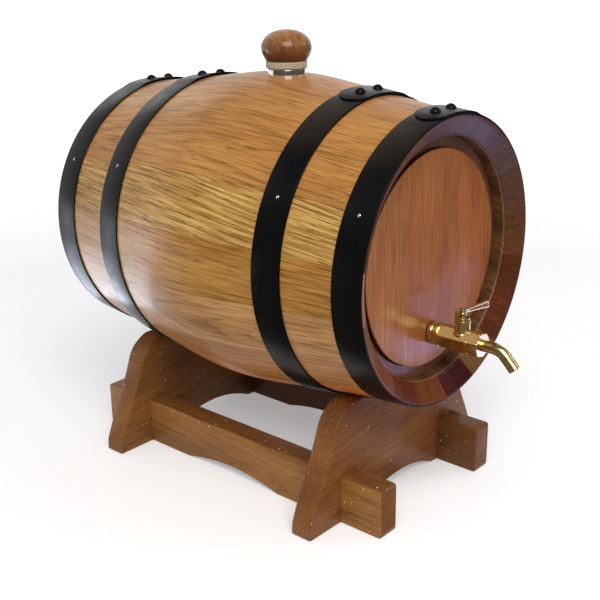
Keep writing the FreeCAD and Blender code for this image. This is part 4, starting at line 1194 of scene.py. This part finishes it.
# ---- Bonnet: the turned brass collar that holds the valve in -----------------
# Screwed down into the body over the valve's stem, on a spread foot. Part of its rim
# is left standing as a lug: the stop on the valve meets it at each end of its turn.

STEM_FORWARD = 183.8      # from mid cask
STEM_CENTRE = (0, MIDDLE_Y - STEM_FORWARD, AXIS_Z + TAP_Z)
BONNET_R = 6.3
BONNET_FOOT = 6.0         # heights are from the tap's axis
BONNET_LEDGE = 17.2
LEDGE_DEPTH = 1.5
SKIRT_IN_R = 5.2
SPREAD_FOOT = [(7.9, 4.0), (7.9, 6.2), (7.2, 6.6), (6.7, 7.5), (6.4, 8.8), (BONNET_R, 10.2)]
LUG_TOP = 24.9
LUG_START = 103.0
LUG_SWEEP = 64.0
LUG_WALL = 1.3
STEM_R = 2.75


def upright_arc(inner, outer, low, high, start, sweep, ease):
    """A wall that follows part of a circle round the valve's axis: its rounded section
    carried from start through sweep."""
    section = eased([(inner, low), (outer, low), (outer, high), (inner, high)], ease, True)
    turn = np.radians(start + np.linspace(0, sweep, max(8, int(sweep / 4))))[:, None]
    loops = [section[:, 0] * np.cos(turn), section[:, 0] * np.sin(turn),
             np.broadcast_to(section[:, 1], (len(turn), len(section)))]
    return loft(np.stack(loops, -1) + STEM_CENTRE)


bonnet_corners = [(CORE_R, BONNET_FOOT), (SKIRT_IN_R, BONNET_FOOT), (SKIRT_IN_R, SPREAD_FOOT[0][1]),
                  *SPREAD_FOOT, (BONNET_R, BONNET_LEDGE), (STEM_R, BONNET_LEDGE),
                  (STEM_R, BONNET_LEDGE - LEDGE_DEPTH), (CORE_R, BONNET_LEDGE - LEDGE_DEPTH)]
collar = turned(bonnet_corners, 0.25, STEM_CENTRE, UP)
lug = upright_arc(BONNET_R - LUG_WALL, BONNET_R, BONNET_LEDGE - 1, LUG_TOP, LUG_START, LUG_SWEEP, 0.4)
shell = joined([collar, lug])
finish_piece("brass_bonnet", shell, "cask", "tap_bonnet", brass)


# ---- Valve: plug, stem, lever and screw, which turn together -----------------
# A turned brass plug with a cross bore, and a cast fantail lever with raised edges
# fixed on its stem by a small screw. A stop on the stem's flange meets the lug.

PLUG_BODY_R = 4.55
PLUG_BOTTOM = -5.7
FLANGE_FOOT = 17.5
FLANGE_R = 4.6
STOP_R = 5.6
STOP_ROOT_R = 3.0
STOP_START = -101.0
STOP_SWEEP = 202.0
HUB_FOOT = 19.1
HUB_R = 2.95
HUB_TOP = 25.9
STUD_R = 1.9              # end of the stem, inside the hub
LEVER_T = 2.2
LEVER_TALL = 6.0
LOW_EDGE = (1.7, 2.1)     # from the blade's lower border: the raised edge's top and foot
HIGH_EDGE = (1.5, 1.9)    # the same from its upper border
LEVER_ROOT = [(0, 22.0), (0, 24.7)]
LEVER_NECK = [(5.9, 22.0), (5.9, 24.7)]
LEVER_TIP = [(39.0, 16.8), (36.0, 23.5)]
RECESS = 0.45             # how far the lever's faces sink between the raised edges
SCREW_TOP_R = 2.4
SCREW_TOP_H = 0.9

plug_corners = [(CORE_R, PLUG_BOTTOM), (PLUG_BODY_R, PLUG_BOTTOM), (PLUG_BODY_R, BONNET_FOOT),
                (STEM_R, BONNET_FOOT), (STEM_R, FLANGE_FOOT), (FLANGE_R, FLANGE_FOOT),
                (FLANGE_R, HUB_FOOT), (STUD_R, HUB_FOOT), (STUD_R, HUB_TOP), (CORE_R, HUB_TOP)]
plug = turned(plug_corners, 0.2, STEM_CENTRE, UP, turns=72)
stop = upright_arc(STOP_ROOT_R, STOP_R, FLANGE_FOOT, HUB_FOOT, STOP_START, STOP_SWEEP, 0.2)
shell = joined([plug, stop])
finish_piece("brass_valve_plug", shell, "valve", "valve_plug", brass)


def lever_blade():
    """Sections from the hub to the tip. Each is a plate on edge whose two borders stay
    thick while the faces between them sink; offsets are kept from the nearer border."""
    tall = LEVER_TALL
    half = LEVER_T / 2
    low = half - RECESS
    side = [(0, -half), (LOW_EDGE[0], -half), (LOW_EDGE[1], -low), (tall - HIGH_EDGE[1], -low),
            (tall - HIGH_EDGE[0], -half), (tall, -half)]
    section = eased(side + [(v, -y) for v, y in side[::-1]], 0.28, True)
    from_top = section[:, 0] > tall / 2
    offset = np.where(from_top, tall - section[:, 0], section[:, 0])
    place = np.concatenate([[0, 1], 1 + np.linspace(0, 1, 30)[1:-1] ** 0.9, [1.985, 2]])
    knots = np.array([LEVER_ROOT, LEVER_NECK, LEVER_TIP])
    border = np.stack([np.stack([np.interp(place, [0, 1, 2], knots[:, edge, axis]) for axis in (0, 1)], -1)
                       for edge in (0, 1)])
    height = np.linalg.norm(border[1] - border[0], axis=1)
    upwards = (border[1] - border[0]) / height[:, None]
    scale = np.minimum(1, height / tall)[:, None]
    v = np.where(from_top, height[:, None] - offset * scale, offset * scale)
    fade = np.clip(np.minimum((place - 0.9) / 0.25, (2.0 - place) / 0.05), 0, 1)[:, None]
    thick = np.abs(section[:, 1])
    face = np.abs(section[:, 0] - tall / 2) < 1.6      # all but the rounded borders
    y = np.sign(section[:, 1]) * (thick + (1 - fade) * (half - thick) * face)
    round_end = np.where(place > 1.99, 0.85, 1.0)[:, None]
    v = (v - height[:, None] / 2) * round_end + height[:, None] / 2
    x = border[0, :, :1] + upwards[:, :1] * v
    z = border[0, :, 1:] + upwards[:, 1:] * v
    return loft(np.stack([x, y * round_end, z], -1) + STEM_CENTRE)


def of_faces(piece, what):
    """The centre or the normal of each of the piece's faces."""
    values = np.empty((len(piece.data.polygons), 3))
    piece.data.polygons.foreach_get(what, values.ravel())
    return values


hub_corners = [(CORE_R, HUB_FOOT), (HUB_R, HUB_FOOT), (HUB_R, 23.0), (HUB_R - 0.3, 23.3),
               (HUB_R - 0.3, 23.9), (HUB_R, 24.2), (HUB_R, HUB_TOP), (CORE_R, HUB_TOP)]
hub = turned(hub_corners, 0.2, STEM_CENTRE, UP, turns=64)
shell = joined([hub, lever_blade()])
lever = finish_piece("brass_lever", shell, "valve", "valve_lever", brass)
middles = of_faces(lever, "center") / MM
sunk = np.abs(middles[:, 1] - STEM_CENTRE[1]) < LEVER_T / 2 - RECESS / 2
sunk &= (np.abs(of_faces(lever, "normal")[:, 1]) > 0.9) & (middles[:, 0] > LEVER_NECK[0][0])
# The sunk faces get a darker, rougher brown brass: a painted dark reflection in the recess.
add_finishes(lever, [polished_brass("brass with painted dark reflection, lever recess", "#9C5E30", "#A86A38", 0.4, 2)], sunk)

screw_top = [(0.9, HUB_TOP - 5.0), (0.9, HUB_TOP), (SCREW_TOP_R, HUB_TOP), (SCREW_TOP_R, HUB_TOP + 0.5),
             (SCREW_TOP_R - 0.6, HUB_TOP + SCREW_TOP_H), (1.1, HUB_TOP + SCREW_TOP_H),
             (1.0, HUB_TOP + 0.3), (0.3, HUB_TOP + 0.3)]
shell = lathe(screw_top, STEM_CENTRE, UP, turns=40)
finish_piece("steel_lever_screw", shell, "valve", "valve_lever_screw", bright_steel)

o_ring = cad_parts["valve_oring"]
o_ring.data.materials.clear()
o_ring.data.materials.append(dark_rubber)


# ---- Stand: two cradles halved over two rails --------------------------------
# Sawn boards with the edges rounded over, stained brown and lacquered. The cradles'
# saddles follow the cask; cross-lap joints, cut half through each board, lock the frame.

STAND_Y = -1.5            # from mid cask
CRADLE_HALF_SPAN = 114.5
CRADLE_THICK = 20.0
REST_GAP = 0.3
HORN_Z = 101.5
HORN_HALF = 66.0
HORN_EASE = 6.0
FOOT_HALF = 119.0
FOOT_EASE = 2.5
FLANK = np.array([(FOOT_HALF, 9.0), (112.5, 25.0), (97.5, 56.0), (89.0, 76.0), (82.0, 90.5),
                  (HORN_HALF, HORN_Z)])
ARCH_HALF = 52.0
ARCH_RISE = 12.5
RAIL_X = 70.0
RAIL_THICK = 21.0
RAIL_HEIGHT = 42.0
RAIL_HALF = 165.0
RAIL_END_EASE = 3.0
RAIL_ARCH_HALF = 54.0
RAIL_ARCH_RISE = 7.5
CRADLE_ROUND = 1.8
RAIL_ROUND = 1.5
JOINT_GAP = 0.35          # each board stands this far off in the joints


def arch(half, rise, count):
    """Shallow arc through two feet and a crown: radius = (half^2 + rise^2) / (2 rise)."""
    radius = (half ** 2 + rise ** 2) / (2 * rise)
    reach = math.asin(half / radius)
    turn = np.linspace(-reach, reach, count)
    return np.stack([radius * np.sin(turn), radius * np.cos(turn) - radius + rise], -1)


def cradle_outline(y):
    """Outline (x, z) at a place along the cask, and which of its points are rounded over:
    all but those in the joints."""
    slot = RAIL_THICK / 2 + JOINT_GAP
    flank = smooth_through(FLANK, 60)
    saddle_r = float(wood_radius(y)) + REST_GAP
    saddle_x = math.sqrt(saddle_r ** 2 - (AXIS_Z - HORN_Z) ** 2)
    reach = math.asin(saddle_x / saddle_r)
    turn = np.linspace(reach, -reach, 91)[1:-1]
    saddle = np.stack([saddle_r * np.sin(turn), AXIS_Z - saddle_r * np.cos(turn)], -1)
    foot = eased([(RAIL_X + slot, 0), (FOOT_HALF, 0), FLANK[0]], FOOT_EASE, False)[1:-1]
    horn = eased([flank[-4], (HORN_HALF, HORN_Z), (saddle_x, HORN_Z)], HORN_EASE, False, 6)[1:-1]
    right = np.concatenate([foot, flank[1:-3], horn])
    top = np.concatenate([right, [(saddle_x + 0.3, HORN_Z)], saddle, [(-saddle_x - 0.3, HORN_Z)],
                          right[::-1] * [-1, 1]])
    joint = np.array([(RAIL_X + slot, 0), (RAIL_X + slot, 10), (RAIL_X + slot, RAIL_HEIGHT / 2),
                      (RAIL_X, RAIL_HEIGHT / 2), (RAIL_X - slot, RAIL_HEIGHT / 2),
                      (RAIL_X - slot, 10), (RAIL_X - slot, 0)])
    floor = arch(ARCH_HALF, ARCH_RISE, 41)
    outline = np.concatenate([top, joint[::-1] * [-1, 1], floor, joint[::-1]])
    soft = [np.ones(len(top)), np.zeros(len(joint)), np.ones(len(floor)), np.zeros(len(joint))]
    return outline, np.concatenate(soft)


def rail_outline():
    """Outline (y, z) of a rail from its middle, and which points are rounded over."""
    slot = CRADLE_THICK / 2 + JOINT_GAP
    joint = np.array([(slot, RAIL_HEIGHT), (slot, 32), (slot, RAIL_HEIGHT / 2), (0, RAIL_HEIGHT / 2),
                      (-slot, RAIL_HEIGHT / 2), (-slot, 32), (-slot, RAIL_HEIGHT)])
    corners = [(0, 0), (RAIL_HALF, 0), (RAIL_HALF, RAIL_HEIGHT), (120, RAIL_HEIGHT)]
    low, high = eased(corners, RAIL_END_EASE, False)[1:-1].reshape(2, -1, 2)
    side = np.array([(RAIL_HALF, z) for z in (12, 21, 30)])
    right = np.concatenate([[(90.0, 0), (130.0, 0)], low, side, high, [(145.0, RAIL_HEIGHT)]])
    middle = np.array([(x, RAIL_HEIGHT) for x in np.linspace(95, -95, 11)])
    place = [CRADLE_HALF_SPAN, 0]
    floor = arch(RAIL_ARCH_HALF, RAIL_ARCH_RISE, 31)
    outline = [right, joint + place, middle, joint - place, right[::-1] * [-1, 1], floor]
    soft = [np.full(len(part), float(number not in (1, 3))) for number, part in enumerate(outline)]
    return np.concatenate(outline), np.concatenate(soft)


def board_slices(outline_at, middle, thickness, rounding):
    """The outline carried through the board's thickness. Near each face it draws in along
    its own normals by rounding * (1 - cos), so that the edges come out as quarter rounds."""
    arc = np.linspace(math.pi / 2, 0, 6)
    inset = rounding * (1 - np.cos(arc))
    depth = rounding * (1 - np.sin(arc)) - thickness / 2
    inset = np.concatenate([inset, inset[::-1]])
    depth = np.concatenate([depth, -depth[::-1]])
    slices = []
    for draw, at in zip(inset, depth):
        outline, soft = outline_at(middle + at)
        along = np.roll(outline, -1, 0) - np.roll(outline, 1, 0)
        along = along / np.linalg.norm(along, axis=1, keepdims=True)
        inward = np.stack([-along[:, 1], along[:, 0]], -1)
        slices.append(outline + inward * (draw * soft)[:, None])
    return np.stack(slices), depth


STAND_GRAIN = {"spacing": 3.6, "figure": 0.2, "pores": 0.5, "coat": (0.25, 0.22)}
STAND_LOOKS = {
    # light, middle, dark, pith, lean
    # cradle_front and rail_left have blue and green raised a little: their stained tone plus a painted
    # lilac sheen from the table.
    "cradle_front": ("#9C673E", "#7D4D28", "#4A2A16", (18, 30), 3.0),
    "cradle_rear": ("#9A6C38", "#7C5026", "#4A2A12", (-20, 26), -2.0),
    "rail_left": ("#B28147", "#956531", "#5C3919", (6, 24), 2.0),
    "rail_right": ("#8C6034", "#704722", "#442812", (30, 30), 1.0),
}

EDGE_LOOKS = {
    # light, middle, dark: a rail's top, bottom and ends soak up more of the stain
    "rail_left": ("#97673B", "#7D5128", "#4C2C13"),
    "rail_right": ("#845830", "#69411F", "#402410"),
}

for number, (node, look) in enumerate(STAND_LOOKS.items()):
    light, middle, dark, pith, lean = look
    stained = oak("brown stained board, " + node, light, middle, dark, pith, lean, seed=21.7 + number,
                  streaks=0.13, chips=0.17, **STAND_GRAIN)
    if node.startswith("cradle"):
        place = STAND_Y + CRADLE_HALF_SPAN * (-1 if node.endswith("front") else 1)
        slices, depth = board_slices(cradle_outline, place, CRADLE_THICK, CRADLE_ROUND)
        x, z = slices[..., 0], slices[..., 1]
        y = np.broadcast_to(place + depth[:, None], x.shape)
        grain = np.stack([z, x, y], -1)
    else:
        place = RAIL_X * (-1 if node.endswith("left") else 1)
        slices, depth = board_slices(lambda across: rail_outline(), place, RAIL_THICK, RAIL_ROUND)
        y, z = slices[..., 0] + STAND_Y, slices[..., 1]
        x = np.broadcast_to(place + depth[:, None], y.shape)
        grain = np.stack([z, y, x], -1)
    shell = loft(np.stack([x, y + MIDDLE_Y, z], -1))
    board = finish_piece("stained_" + node, shell, "stand", node, stained, grain)
    if node in EDGE_LOOKS:
        light, middle, dark = EDGE_LOOKS[node]
        edge_oak = oak("brown stained edge, " + node, light, middle, dark, pith, lean,
                       seed=31.7 + number, streaks=0.16, chips=0.165, **STAND_GRAIN)
        add_finishes(board, [edge_oak], np.abs(of_faces(board, "normal")[:, 0]) < 0.7)
